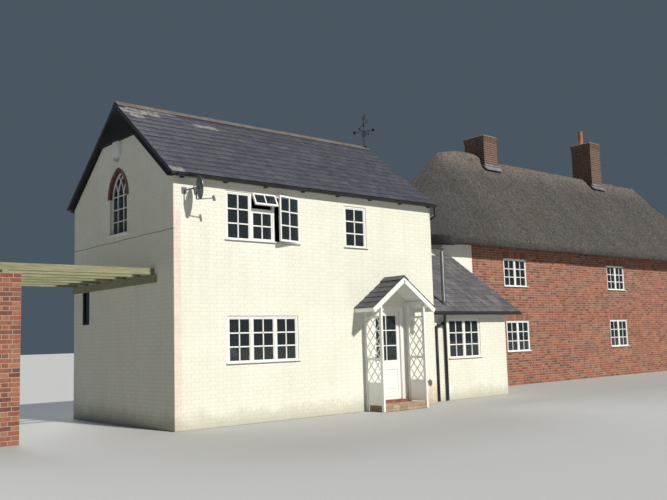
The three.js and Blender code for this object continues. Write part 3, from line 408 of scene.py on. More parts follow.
def round_bar(name, start, end, radius, sides=16, ease=0.0):
    """A round bar between two places in the house's layout"""
    start, end = Vector(start), Vector(end)
    only_select()
    bpy.ops.mesh.primitive_cylinder_add(vertices=sides, radius=radius, depth=(end - start).length)
    bar = bpy.context.object
    bar.name = name
    bar.rotation_mode = "QUATERNION"
    bar.rotation_quaternion = (end - start).to_track_quat("Z", "Y")
    bar.location = (start + end) / 2 + SHIFT
    only_select(bar)
    bpy.ops.object.transform_apply(location=True, rotation=True, scale=True)
    if ease:
        ease_edges(bar, ease)
    smooth(bar)
    return bar


def turned(name, profile, centre, steps):
    """A closed shape spun round an upright axis, from radii and heights"""
    mesh = bpy.data.meshes.new(name)
    middle = Vector((*centre, 0)) + SHIFT
    points = [(middle.x + radius, middle.y, height) for radius, height in profile]
    mesh.from_pydata(points, [(i, i + 1) for i in range(len(points) - 1)], [])
    item = new_object(name, mesh)
    only_select(item)
    bpy.ops.object.mode_set(mode="EDIT")
    bpy.ops.mesh.select_all(action="SELECT")
    bpy.ops.mesh.spin(steps=steps, angle=math.tau, center=middle, axis=(0, 0, 1))
    bpy.ops.mesh.select_all(action="SELECT")
    bpy.ops.mesh.remove_doubles(threshold=0.0002)
    bpy.ops.mesh.select_all(action="DESELECT")
    bpy.ops.mesh.select_non_manifold()
    bpy.ops.mesh.edge_face_add()
    bpy.ops.mesh.select_all(action="SELECT")
    bpy.ops.mesh.normals_make_consistent()
    bpy.ops.object.mode_set(mode="OBJECT")
    return item


# Material helpers
class Wiring:
    """Adds and joins nodes in a material or a shared effect"""

    def put(self, kind, feeds=(), **settings):
        """A new node, with its settings and the inputs that are named or numbered"""
        node = self.tree.nodes.new(kind)
        for key, value in settings.items():
            setattr(node, key, value)
        for key, value in dict(feeds).items():
            self.feed(node.inputs[key], value)
        return node

    def feed(self, socket, value):
        if isinstance(value, bpy.types.NodeSocket):
            self.tree.links.new(value, socket)
        elif socket.type == "RGBA":
            socket.default_value = (*value[:3], 1.0)
        else:
            socket.default_value = value

    def stretched(self, vector, factors):
        node = self.put("ShaderNodeVectorMath", {0: vector, 1: factors}, operation="MULTIPLY")
        return node.outputs["Vector"]

    def clouds(self, scale, detail=4.0, rough=0.55, at=None):
        place = self.place if at is None else at
        feeds = {"Vector": place, "Scale": scale, "Detail": detail, "Roughness": rough}
        return self.put("ShaderNodeTexNoise", feeds).outputs["Fac"]

    def between(self, value, low, high, to_low=0.0, to_high=1.0):
        feeds = {"Value": value, "From Min": low, "From Max": high, "To Min": to_low, "To Max": to_high}
        return self.put("ShaderNodeMapRange", feeds).outputs["Result"]

    def sum(self, operation, a, b=0.5):
        return self.put("ShaderNodeMath", {0: a, 1: b}, operation=operation).outputs["Value"]

    def mixed(self, factor, a, b, blend="MIX"):
        feeds = {0: factor, 6: a, 7: b}
        return self.put("ShaderNodeMix", feeds, data_type="RGBA", blend_type=blend).outputs[2]

    def split(self):
        """The place's X, Y and Z"""
        return self.put("ShaderNodeSeparateXYZ", {0: self.place}).outputs


class Effect(Wiring):
    """A shader effect that several materials share, and that takes a place"""

    def __init__(self, name, gives, **takes):
        self.tree = bpy.data.node_groups.new(name, "ShaderNodeTree")
        for in_out, sockets in (("INPUT", {"Place": "Vector", **takes}), ("OUTPUT", gives)):
            for label, kind in sockets.items():
                self.tree.interface.new_socket(label, in_out=in_out, socket_type="NodeSocket" + kind)
        self.takes = self.put("NodeGroupInput").outputs
        self.gives = self.put("NodeGroupOutput").inputs
        self.place = self.takes["Place"]
        EFFECTS[name] = self.tree


class Finish(Wiring):
    """One material, whose tone is laid in layers"""

    def __init__(self, name, roughness, metallic=0.0, tone=None):
        material = bpy.data.materials.new(name)
        material.use_nodes = True
        self.tree = material.node_tree
        self.shader = self.tree.nodes["Principled BSDF"]
        self.shader.inputs["Roughness"].default_value = roughness
        self.shader.inputs["Metallic"].default_value = metallic
        self.place = self.put("ShaderNodeTexCoord").outputs["Object"]
        self.tone = tone
        FINISHES[name] = material

    def attribute(self, name, output="Fac"):
        return self.put("ShaderNodeAttribute", attribute_name=name).outputs[output]

    def effect(self, name, **values):
        feeds = {"Place": self.place, **values}
        return self.put("ShaderNodeGroup", feeds, node_tree=EFFECTS[name]).outputs

    def stain(self, stretch, scale, low, high):
        return self.effect("stains", Stretch=stretch, Scale=scale, Low=low, High=high)["Mask"]

    def splash(self, height):
        return self.effect("ground splash", Height=height)["Mask"]

    def by_unit(self, dark, middle, pale, mottle):
        """A tone of its own for each brick, slate or tile"""
        outputs = self.effect("unit tint", Shade=self.attribute("shade"), Dark=dark, Middle=middle, Pale=pale,
                              Mottle=mottle)
        return outputs["Colour"]

    def lay(self, colour, *masks):
        """Covers the tone with a colour, as much as the masks' product says"""
        factor = masks[0]
        for mask in masks[1:]:
            factor = self.sum("MULTIPLY", factor, mask)
        self.tone = self.mixed(factor, self.tone, colour)

    def relief(self, height, distance, strength, under=None):
        feeds = {"Strength": strength, "Distance": distance, "Height": height}
        if under is not None:
            feeds["Normal"] = under
        normal = self.put("ShaderNodeBump", feeds).outputs["Normal"]
        self.feed(self.shader.inputs["Normal"], normal)
        return normal

    def close(self, height, distance, strength, rough=None):
        """Joins the tone, the roughness and the relief to the shader"""
        self.feed(self.shader.inputs["Base Color"], self.tone)
        if rough is not None:
            self.feed(self.shader.inputs["Roughness"], rough)
        return self.relief(height, distance, strength)


EFFECTS = {}
FINISHES = {}


def shared_effects():
    """Stains, grain, ground splash and the tint of each brick or slate"""
    stains = Effect("stains", {"Mask": "Float"}, Stretch="Vector", Scale="Float", Low="Float", High="Float")
    spread = stains.stretched(stains.place, stains.takes["Stretch"])
    cloud = stains.clouds(stains.takes["Scale"], 5.0, 0.6, spread)
    stains.feed(stains.gives["Mask"], stains.between(cloud, stains.takes["Low"], stains.takes["High"]))

    grain = Effect("wood grain", {"Mask": "Float", "Height": "Float"}, Stretch="Vector", Scale="Float")
    run = grain.stretched(grain.place, grain.takes["Stretch"])
    fibres = grain.clouds(grain.takes["Scale"], 6.0, 0.65, run)
    grain.feed(grain.gives["Mask"], grain.between(fibres, 0.35, 0.65))
    grain.feed(grain.gives["Height"], fibres)

    splash = Effect("ground splash", {"Mask": "Float"}, Height="Float")
    edge = splash.sum("MULTIPLY", splash.clouds(3.0, 5.0), 2.0)
    level = splash.sum("MULTIPLY", splash.takes["Height"], edge)
    splash.feed(splash.gives["Mask"], splash.between(splash.split()["Z"], 0.0, level, 1.0, 0.0))

    tint = Effect("unit tint", {"Colour": "Color"}, Shade="Float", Dark="Color", Middle="Color", Pale="Color",
                  Mottle="Float")
    low = tint.between(tint.takes["Shade"], 0.0, 0.45)
    high = tint.between(tint.takes["Shade"], 0.6, 1.0)
    base = tint.mixed(high, tint.mixed(low, tint.takes["Dark"], tint.takes["Middle"]), tint.takes["Pale"])
    mottle = tint.between(tint.clouds(tint.takes["Mottle"], 4.0, 0.6), 0.3, 0.75, 0.72, 1.18)
    tone = tint.put("ShaderNodeCombineXYZ", {0: mottle, 1: mottle, 2: mottle})
    tint.feed(tint.gives["Colour"], tint.mixed(1.0, base, tone.outputs[0], "MULTIPLY"))


def paled(colour, amount):
    """A colour moved towards white, or towards black below zero"""
    goal = 1.0 if amount > 0 else 0.0
    return tuple(part + (goal - part) * abs(amount) for part in colour)


def painted_finish(name, from_units):
    """Worn masonry paint, with the pink corner, the crack and the fallen patches that the walls show, and for
    the wall behind the bricks a darker tone as painted shade in their joints
    """
    paint = tuple(bpy.context.scene.cottage_brickwork.paint)
    wall = Finish(name, 0.82)
    x, y, z = wall.split()
    rough = wall.clouds(9.0, 6.0, 0.7)
    worn = wall.between(wall.clouds(5.0, 6.0, 0.7), 0.4, 0.62, 0.35, 0.95)
    front = wall.between(y, SHIFT.y + 0.03, SHIFT.y + 0.01)
    gable = wall.between(x, SHIFT.x + 0.03, SHIFT.x + 0.01)
    patches = wall.stain((1, 1, 1), 0.9, 0.45, 0.75)
    wall.tone = wall.mixed(patches, paint, paled(paint, 0.22))
    if from_units:
        wall.lay(paled(paint, -0.45), wall.between(wall.attribute("shade"), 0.0, 1.0, 0.0, 0.05))

    strip = wall.between(x, *CORNER_STRIP["x"])
    wall.lay((0.72, 0.59, 0.50), front, strip, wall.between(z, *CORNER_STRIP["z"], 0.15, 1.0), worn)
    by_door, low_down = wall.between(x, *DOOR_FOOT["x"]), wall.between(z, *DOOR_FOOT["z"])
    wall.lay((0.66, 0.42, 0.28), by_door, low_down, front, worn)
    wander = wall.between(wall.clouds(1.5, 6.0, 0.65), 0.0, 1.0, -0.03, 0.03)
    off_crack = wall.sum("ABSOLUTE", wall.sum("SUBTRACT", wall.sum("ADD", z, wander), CRACK["height"]))
    wall.lay((0.10, 0.10, 0.085), gable, wall.between(off_crack, *CRACK["width"], 1.0, 0.0), 0.65)

    streaks = wall.stain((2.2, 2.2, 0.32), 1.6, 0.5, 0.78)
    wall.lay((0.47, 0.46, 0.40), streaks, 0.16)
    wall.lay((0.33, 0.32, 0.22), wall.splash(0.34), 0.6)
    feeds = {0: wall.place, 1: FALLEN_PAINT["centre"]}
    distance = wall.put("ShaderNodeVectorMath", feeds, operation="DISTANCE").outputs["Value"]
    ragged = wall.sum("ADD", distance, wall.sum("MULTIPLY", rough, 0.22))
    wall.lay((0.13, 0.10, 0.08), wall.between(ragged, *FALLEN_PAINT["reach"], 1.0, 0.0))
    flakes = wall.between(rough, 0.69, 0.71)
    wall.lay((0.16, 0.12, 0.10), flakes, wall.splash(1.1))
    # The plain wall behind the bricks shows in their joints, so it is darkened a little all over: painted
    # shade in the joints
    if not from_units:
        wall.lay((0.28, 0.26, 0.20), 0.2)
    wall.close(wall.clouds(60.0, 6.0, 0.7), 0.0025, 0.7)


def plain_finish(name, roughness, base, stain, cover, amount, clouds, distance, strength):
    """A base colour, or a tint by unit, with one stain laid over it"""
    plain = Finish(name, roughness)
    plain.tone = base if len(base) == 3 else plain.by_unit(*base)
    plain.lay(cover, plain.stain(*stain), amount)
    plain.close(plain.clouds(*clouds), distance, strength)


def slabs(coat, offset, seam, width, height, colours):
    """Slabs or boards with seams, as the pattern's outputs"""
    feeds = {
        "Vector": coat.place, "Scale": 1.0, "Mortar Size": seam, "Brick Width": width,
        "Row Height": height, "Color1": colours[0], "Color2": colours[1], "Mortar": colours[2],
    }
    return coat.put("ShaderNodeTexBrick", feeds, offset=offset).outputs


def masonry_finishes():
    brick = tuple(bpy.context.scene.cottage_brickwork.brick)
    painted_finish("painted brick", True)
    painted_finish("painted wall", False)

    units = Finish("red brick", 0.9)
    units.tone = units.by_unit((0.15, 0.055, 0.04), brick, (0.38, 0.16, 0.09), 24.0)
    units.lay((0.42, 0.32, 0.25), units.stain((1, 1, 1), 1.3, 0.5, 0.8), 0.2)
    height = units.sum("ADD", units.split()["Z"], units.clouds(3.0))
    # The stacks' bricks darken towards their tops
    units.lay((0.062, 0.045, 0.038), units.between(height, *STACK_TOP_DARKENING, 0.0, 0.72))
    rough = units.between(units.clouds(80.0), 0.3, 0.7, 0.8, 0.98)
    units.close(units.clouds(130.0, 6.0, 0.7), 0.003, 0.9, rough)

    mortar = Finish("lime mortar", 0.95)
    grit = mortar.clouds(170.0, 5.0, 0.8)
    mortar.tone = mortar.mixed(mortar.between(grit, 0.3, 0.7), (0.34, 0.31, 0.25), (0.46, 0.42, 0.35))
    mortar.lay((0.20, 0.17, 0.13), mortar.stain((1, 1, 0.5), 1.5, 0.4, 0.8), 0.5)
    mortar.close(grit, 0.003, 1.0)

    flags = Finish("stone flags", 0.8)
    cells = slabs(flags, 0.5, 0.008, 0.6, 0.45, ((0.36, 0.32, 0.26), (0.28, 0.26, 0.22), (0.14, 0.12, 0.10)))
    worn = flags.clouds(14.0, 6.0)
    flags.tone = cells["Color"]
    flags.lay((0.48, 0.44, 0.37), flags.between(worn, 0.35, 0.7, 0.0, 0.4))
    flags.close(flags.sum("SUBTRACT", worn, cells["Fac"]), 0.004, 0.6)

    even, bed, paving_cover = (1, 1, 1), (0.24, 0.18, 0.13), (0.30, 0.25, 0.17)
    browns = ((0.12, 0.055, 0.04), (0.17, 0.10, 0.075), (0.25, 0.16, 0.12), 30.0)
    pavings = ((0.30, 0.19, 0.13), (0.40, 0.28, 0.19), (0.50, 0.38, 0.28), 18.0)
    ridges = ((0.13, 0.095, 0.085), (0.115, 0.100, 0.095), (0.15, 0.13, 0.12), 14.0)
    blotch = (even, 5.0, 0.45, 0.75)
    grit = (90.0, 6.0, 0.7)
    for row in (
        ("brown arch brick", 0.9, browns, blotch, bed, 0.0, (120.0, 6.0, 0.7), 0.003, 0.9),
        ("paving brick", 0.9, pavings, blotch, paving_cover, 0.5, grit, 0.003, 0.8),
        ("paving bed", 0.9, (bed, bed, bed, 18.0), blotch, paving_cover, 0.5, grit, 0.003, 0.8),
        ("white render", 0.9, (0.82, 0.80, 0.72), ((1.4, 1.4, 0.5), 1.2, 0.4, 0.75), (0.66, 0.63, 0.54), 1.0,
         (45.0, 7.0, 0.75), 0.006, 0.8),
        ("ridge tile", 0.85, ridges, (even, 4.0, 0.38, 0.66), (0.19, 0.18, 0.16), 0.5,
         (60.0, 6.0, 0.7), 0.003, 0.8),
        ("clay pot", 0.85, (0.42, 0.17, 0.09), (even, 4.0, 0.4, 0.7), (0.20, 0.11, 0.08), 1.0,
         (70.0, 5.0), 0.002, 0.6),
    ):
        plain_finish(*row)


def roof_finishes():
    sizes = bpy.context.scene.cottage_roofs
    for name, base, bloom, amount in (
        ("wing slates", tuple(sizes.slate), (0.075, 0.072, 0.082), 0.35),
        ("link slates", (0.125, 0.117, 0.127), (0.30, 0.27, 0.28), 0.5),
    ):
        tiles = Finish(name, 0.5)
        tiles.tone = tiles.by_unit(paled(base, -0.16), base, paled(base, 0.018), 7.0)
        tiles.lay(bloom, tiles.stain((2.4, 0.8, 0.8), 1.9, 0.50, 0.72), amount)
        tiles.lay((0.22, 0.21, 0.15), tiles.between(tiles.clouds(22.0, 6.0, 0.7), 0.66, 0.70), 0.35)
        lime = tiles.between(tiles.clouds(11.0, 6.0, 0.75), 0.42, 0.56, 0.0, 0.9)
        tiles.lay((0.30, 0.29, 0.26), tiles.between(tiles.attribute("shade"), 1.2, 1.8), lime)
        riven = tiles.clouds(26.0, 7.0, 0.65, tiles.stretched(tiles.place, (1, 1, 2)))
        tiles.close(riven, 0.004, 0.8, tiles.between(tiles.clouds(5.0), 0.3, 0.7, 0.42, 0.72))

    straw = tuple(sizes.straw)
    for name, contrast in (("thatch", 1.0), ("thatch straws", 1.35)):
        coat = Finish(name, 0.95)
        run = coat.attribute("straw", "Vector")
        lines = coat.clouds(1.0, 5.0, 0.7, coat.stretched(run, (26.0, 1.6, 1.0)))
        strands = coat.clouds(1.0, 3.0, 0.6, coat.stretched(run, (110.0, 7.0, 1.0)))
        broad = coat.clouds(1.0, 5.0, 0.6, coat.stretched(run, (1.2, 0.22, 1.0)))
        speckle = coat.clouds(34.0, 4.0, 0.75)
        grain = coat.clouds(15.0, 3.0, 0.8)
        x, _, z = coat.split()
        coat.tone = coat.mixed(coat.between(speckle, 0.32, 0.68), paled(straw, -0.55), paled(straw, 0.05))
        coat.lay((0.14, 0.12, 0.105), coat.between(lines, 0.45, 0.72, 0.0, 0.6))
        coat.lay((0.052, 0.048, 0.045), coat.between(broad, 0.42, 0.62, 0.0, 0.5))
        coat.lay((0.21, 0.18, 0.155), coat.between(strands, 0.58, 0.72, 0.0, 0.5 * contrast))
        height = coat.sum("ADD", z, coat.clouds(2.2))
        coat.lay((0.25, 0.215, 0.19), coat.between(height, *PALE_RIDGE), 0.6)
        coat.lay((0.085, 0.05, 0.037), coat.stain((1, 1, 1), 0.8, 0.58, 0.72), 0.5)
        coat.lay((0.018, 0.017, 0.016), coat.between(grain, 0.38, 0.5, 0.65, 0.0))
        coat.lay((0.26, 0.235, 0.205), coat.between(grain, 0.55, 0.66, 0.0, 0.4))
        # The thatch darkens towards its left end
        along = coat.sum("ADD", x, coat.clouds(1.2))
        coat.lay((0.022, 0.021, 0.021), coat.between(along, *LEFT_END_DARKENING, 0.7, 0.0))
        under = coat.relief(speckle, 0.02, 0.7, coat.close(lines, 0.02, 0.6))
        coat.relief(strands, 0.008, 0.8, under)


def joinery_finishes():
    sizes = bpy.context.scene.cottage_joinery
    paint = Finish("white gloss paint", 0.35, tone=tuple(sizes.paint))
    dust = paint.stain((2, 2, 0.8), 2.6, 0.52, 0.8)
    streak = paint.clouds(1.0, at=paint.stretched(paint.place, (40, 40, 5)))
    paint.lay((0.60, 0.59, 0.52), dust, 0.35)
    paint.lay((0.66, 0.65, 0.60), paint.between(streak, 0.5, 0.8, 0.0, 0.12))
    paint.close(streak, 0.0008, 0.5, paint.between(dust, 0.0, 1.0, 0.32, 0.6))

    # The glass is tinted dark, as painted shade for the dim rooms behind it
    glass = Finish("window glass", 0.02, tone=(0.22, 0.27, 0.29))
    glass.shader.inputs["Transmission Weight"].default_value = 0.92
    glass.shader.inputs["IOR"].default_value = 1.45
    glass.close(glass.clouds(2.5, 2.0), 0.004, 0.15)

    oak = Finish("weathered oak", 0.85)
    grain = oak.effect("wood grain", Stretch=(1, 16, 16), Scale=2.2)
    oak.tone = oak.mixed(grain["Mask"], paled(tuple(sizes.oak), -0.45), tuple(sizes.oak))
    oak.lay((0.17, 0.20, 0.11), oak.stain((1, 1, 1), 2.0, 0.4, 0.7), 0.5)
    oak.close(grain["Height"], 0.006, 0.9)

    boards = Finish("floor boards", 0.55)
    grain = boards.effect("wood grain", Stretch=(0.6, 14, 14), Scale=2.0)
    browns = ((0.30, 0.19, 0.10), (0.22, 0.13, 0.07), (0.03, 0.02, 0.015))
    seams = slabs(boards, 0.37, 0.002, 2.4, 0.16, browns)
    boards.tone = seams["Color"]
    boards.lay((0.10, 0.06, 0.035), boards.between(grain["Mask"], 0.0, 1.0, 0.0, 0.35))
    boards.close(boards.sum("SUBTRACT", grain["Height"], seams["Fac"]), 0.002, 0.6)

    black = Finish("black painted wood", 0.6)
    black.shader.inputs["Specular IOR Level"].default_value = 0.25
    grain = black.effect("wood grain", Stretch=(6, 2, 2), Scale=6.0)
    black.tone = black.mixed(grain["Mask"], (0.004, 0.004, 0.005), (0.012, 0.012, 0.014))
    black.close(grain["Height"], 0.0015, 0.5, black.between(grain["Mask"], 0.0, 1.0, 0.55, 0.75))


def metal_finishes():
    for name, metallic, dark, pale, low, high in (
        ("black gutter", 0.0, (0.006, 0.006, 0.007), (0.03, 0.03, 0.032), 0.35, 0.6),
        ("grey metal", 0.55, (0.16, 0.17, 0.18), (0.30, 0.31, 0.32), 0.35, 0.6),
        ("dark iron", 0.55, (0.012, 0.014, 0.02), (0.05, 0.045, 0.04), 0.4, 0.7),
        ("lead", 0.55, (0.20, 0.21, 0.23), (0.42, 0.43, 0.45), 0.45, 0.7),
    ):
        metal = Finish(name, 0.45, metallic)
        film = metal.stain((2, 2, 0.7), 3.0, 0.42, 0.72)
        metal.tone = metal.mixed(film, dark, pale)
        if name == "dark iron":
            rust = metal.between(metal.clouds(30.0, 6.0, 0.7), 0.58, 0.68, 0.0, 0.7)
            metal.lay((0.13, 0.055, 0.025), rust)
        metal.close(metal.clouds(90.0), 0.0008, 0.4, metal.between(film, 0.0, 1.0, low, high))

    plastic = Finish("alarm plastic", 0.45)
    film = plastic.stain((3, 3, 1), 5.0, 0.4, 0.8)
    plastic.tone = plastic.mixed(film, (0.84, 0.85, 0.83), (0.60, 0.60, 0.55))
    wander = plastic.sum("ADD", plastic.split()["Z"], plastic.sum("MULTIPLY", plastic.clouds(14.0), 0.08))
    plastic.lay((0.20, 0.24, 0.11), plastic.between(wander, *ALGAE_ON_ALARM, 0.85, 0.0))
    plastic.close(plastic.clouds(300.0, 3.0), 0.0004, 0.4)


# Brickwork
def course_marks(row, start, end, cuts, length):
    """Where a course's upright joints come, in Flemish bond"""
    cycle = length * 1.5
    offset = cycle / 2 * (row % 2)
    first = math.floor((start - offset) / cycle) * cycle + offset
    marks = []
    while first < end:
        marks += [first, first + length]
        first += cycle
    fixed = [start, *[cut for cut in cuts if start < cut < end], end]
    kept = [mark for mark in marks if start < mark < end and all(abs(mark - cut) > 0.05 for cut in fixed)]
    return sorted(fixed + kept)


def brick_faces(limits, openings, foot, head, shapes=(), course=None):
    """The faces of a wall's bricks as u0, u1, z0, z1. limits and shapes give a span at a height"""
    sizes = bpy.context.scene.cottage_brickwork
    course = course or sizes.course
    found = []
    for row in range(math.ceil((head - foot) / course - 1e-6)):
        low = foot + row * course
        high = min(low + course, head)
        span = limits((low + high) / 2)
        if span[1] - span[0] < 0.06 or high - low < 0.03:
            continue
        met = [o for o in openings if o[3] > low + 0.004 and o[2] < high - 0.004]
        met += [(*shape, low, high) for shape in (s((low + high) / 2) for s in shapes) if shape]
        cuts = sorted(edge for o in met for edge in o[:2])
        marks = course_marks(row, *span, cuts, sizes.length)
        for left, right in zip(marks, marks[1:]):
            middle = (left + right) / 2
            bottom, top = low, high
            for o in met:
                if o[0] < middle < o[1]:
                    bottom, top = (max(bottom, o[3]), top) if o[3] < high else (bottom, min(top, o[2]))
            if top - bottom > 0.025 and right - left > 0.02:
                found.append((left, right, bottom, top))
    return found


def lay_bricks(name, facing, face, faces, painted=False, seed=1):
    """Blocks for brick faces, each with its own slight relief"""
    sizes = bpy.context.scene.cottage_brickwork
    proud, joint, ease = (0.0026, 0.0065, 0.0014) if painted else (sizes.proud, sizes.joint, 0.0028)
    lifts = np.random.default_rng(seed).uniform(-0.2, 0.2, len(faces)) * proud
    half = joint / 2
    boxes = [((left + half, -proud - lift, bottom + half), (right - half, 0.005, top - half))
             for (left, right, bottom, top), lift in zip(faces, lifts)]
    return lay_blocks(name, boxes, wall_axes(facing, face), ease, True, seed=seed)


def painted_walls(walls, seed):
    """Painted bricks from name, facing, face, limits, openings, head and shapes"""
    for index, (name, facing, face, limits, openings, head, shapes) in enumerate(walls):
        faces = brick_faces(limits, openings, 0, head, shapes)
        finish(lay_bricks(name, facing, face, faces, True, seed + index), "painted brick")


def level(low, high):
    """The same span at every height"""
    return lambda height: (low, high)


def opening(name):
    """A window's opening as left, right, sill and head along its wall"""
    facing, _, span, height, _ = WINDOWS[name]
    return (*on_wall(facing, *span), *height)


def gothic_hole(offset):
    """The gable window's outline as a span at a height, along the wall"""
    centre, half = -GOTHIC["centre"], GOTHIC["half"]

    def span(height):
        if height < GOTHIC["sill"]:
            return None
        rise = max(0.0, height - GOTHIC["spring"])
        if rise == 0.0:
            return (centre - half, centre + half)
        radius = GOTHIC["radius"] + offset
        if rise >= radius:
            return None
        reach = math.sqrt(radius * radius - rise * rise) - (GOTHIC["radius"] - half)
        return (centre - reach, centre + reach) if reach > 0 else None

    return span


def gable_span(facing):
    """The wing's end walls, narrowed under the roof's slopes"""
    def span(height):
        reach = min(WING_MIDDLE, (WING_APEX - SLAB - height) / WING_SLOPE)
        return on_wall(facing, WING_MIDDLE - reach, WING_MIDDLE + reach)
    return span


def link_end_span(height):
    reach = min(LINK_APEX_Y - LINK_FRONT, (LINK_APEX - SLAB - height) / LINK_SLOPE)
    return (LINK_APEX_Y - reach, RANGE_FRONT)


def range_span(facing):
    """The range's long walls, narrowed above the rounded corners of the eave"""
    def span(height):
        inset = -0.004 if height < CORNER_HEAD else CORNER_INSET
        return on_wall(facing, RANGE_LEFT + inset, RANGE_RIGHT - inset)
    return span


class COTTAGE_OT_wing_brickwork(bpy.types.Operator):
    """Lay the painted bricks of the slate-roofed wing"""

    bl_idname = "cottage.wing_brickwork"
    bl_label = "Wing brickwork"

    def execute(self, context):
        lip = 0.002
        doorway = (DOOR["centre"] - DOORWAY, DOOR["centre"] + DOORWAY, 0, 2.22)
        front = [opening("triple_window"), opening("single_window"), opening("lower_window"), doorway]
        rear = [opening("wing_rear_lower_window"), opening("wing_rear_upper_window")]
        slot, pointed = [opening("slot_window")], [gothic_hole(0.086)]
        painted_walls((
            ("wing_front_bricks", "front", 0, level(-lip, WING_LENGTH + lip), front, WING_HEAD, ()),
            ("wing_back_bricks", "back", WING_DEPTH, level(-WING_LENGTH, 0), rear, WING_HEAD, ()),
            ("wing_gable_bricks", "left", 0, gable_span("left"), slot, 5.7, pointed),
            ("wing_right_bricks", "right", WING_LENGTH, gable_span("right"), [], 6.25, ()),
        ), 11)
        return {"FINISHED"}


class COTTAGE_OT_link_brickwork(bpy.types.Operator):
    """Lay the painted bricks of the low link and of the range's left end"""

    bl_idname = "cottage.link_brickwork"
    bl_label = "Link brickwork"

    def execute(self, context):
        front, rear = level(WING_LENGTH, LINK_RIGHT + 0.002), level(-RANGE_LEFT, -WING_LENGTH)
        end = level(-RANGE_BACK, -RANGE_FRONT)
        painted_walls((
            ("link_front_bricks", "front", LINK_FRONT, front, [opening("link_window")], 2.195, ()),
            ("link_end_bricks", "right", LINK_RIGHT, link_end_span, [], 3.7, ()),
            ("link_rear_bricks", "back", WING_DEPTH, rear, [], 2.385, ()),
            ("range_left_bricks", "left", RANGE_LEFT, end, [], CORNER_HEAD, ()),
        ), 21)
        return {"FINISHED"}


class COTTAGE_OT_range_brickwork(bpy.types.Operator):
    """Lay the red bricks of the thatched range, its flat arches and its rendered end"""

    bl_idname = "cottage.range_brickwork"
    bl_label = "Range brickwork"

    def execute(self, context):
        for seed, name, facing, face in ((31, "range_front_bricks", "front", RANGE_FRONT),
                                         (32, "range_back_bricks", "back", RANGE_BACK)):
            openings, soldiers = self.arches(facing)
            if facing == "front":
                openings.append((RANGE_LEFT - 1, RENDER_RIGHT, -1, 6))
            faces = brick_faces(range_span(facing), openings, 0, WALL_HEAD) + soldiers
            finish(lay_bricks(name, facing, face, faces, seed=seed), "red brick")
        faces = brick_faces(level(RANGE_FRONT, RANGE_BACK), [], 0, CORNER_HEAD)
        finish(lay_bricks("range_right_bricks", "right", RANGE_RIGHT, faces, seed=35), "red brick")
        low, high = -0.012, -0.001
        coat = [((RANGE_LEFT + 0.03, low, 0.02), (RENDER_RIGHT, high, CORNER_HEAD)),
                ((RANGE_LEFT + CORNER_INSET, low, CORNER_HEAD - 0.001), (RENDER_RIGHT, high, 4.42))]
        finish(lay_blocks("range_render_coat", coat, wall_axes("front", RANGE_FRONT), 0.004), "white render")
        return {"FINISHED"}

    def arches(self, facing):
        """The openings of the windows and their flat arches, and the bricks on end of the arches"""
        rise = 0.225
        openings, soldiers = [], []
        for sill, head in RANGE_STOREYS.values():
            for low, high in RANGE_WINDOWS:
                left, right = on_wall(facing, low - 0.06, high + 0.06)
                openings.append((left, right, head, head + rise))
                openings.append((*on_wall(facing, low, high), sill, head + 0.01))
                edges = np.linspace(left, right, round((right - left) / 0.075) + 1)
                soldiers += [(a, b, head, head + rise) for a, b in zip(edges, edges[1:])]
        return openings, soldiers


def stack_bricks(name, x0, x1, y0, y1, foot, head, seed, course=None):
    """Bricks on the four faces of an upright stack or pier"""
    lip = 0.003
    wide, deep = (x0 - lip, x1 + lip), (y0, y1)
    sides = (("front", y0, wide), ("back", y1, wide), ("left", x0, deep), ("right", x1, deep))
    items = []
    for facing, face, span in sides:
        faces = brick_faces(level(*on_wall(facing, *span)), [], foot, head, course=course)
        items.append(lay_bricks(f"{name}_{facing}", facing, face, faces, seed=seed + len(items)))
    return items


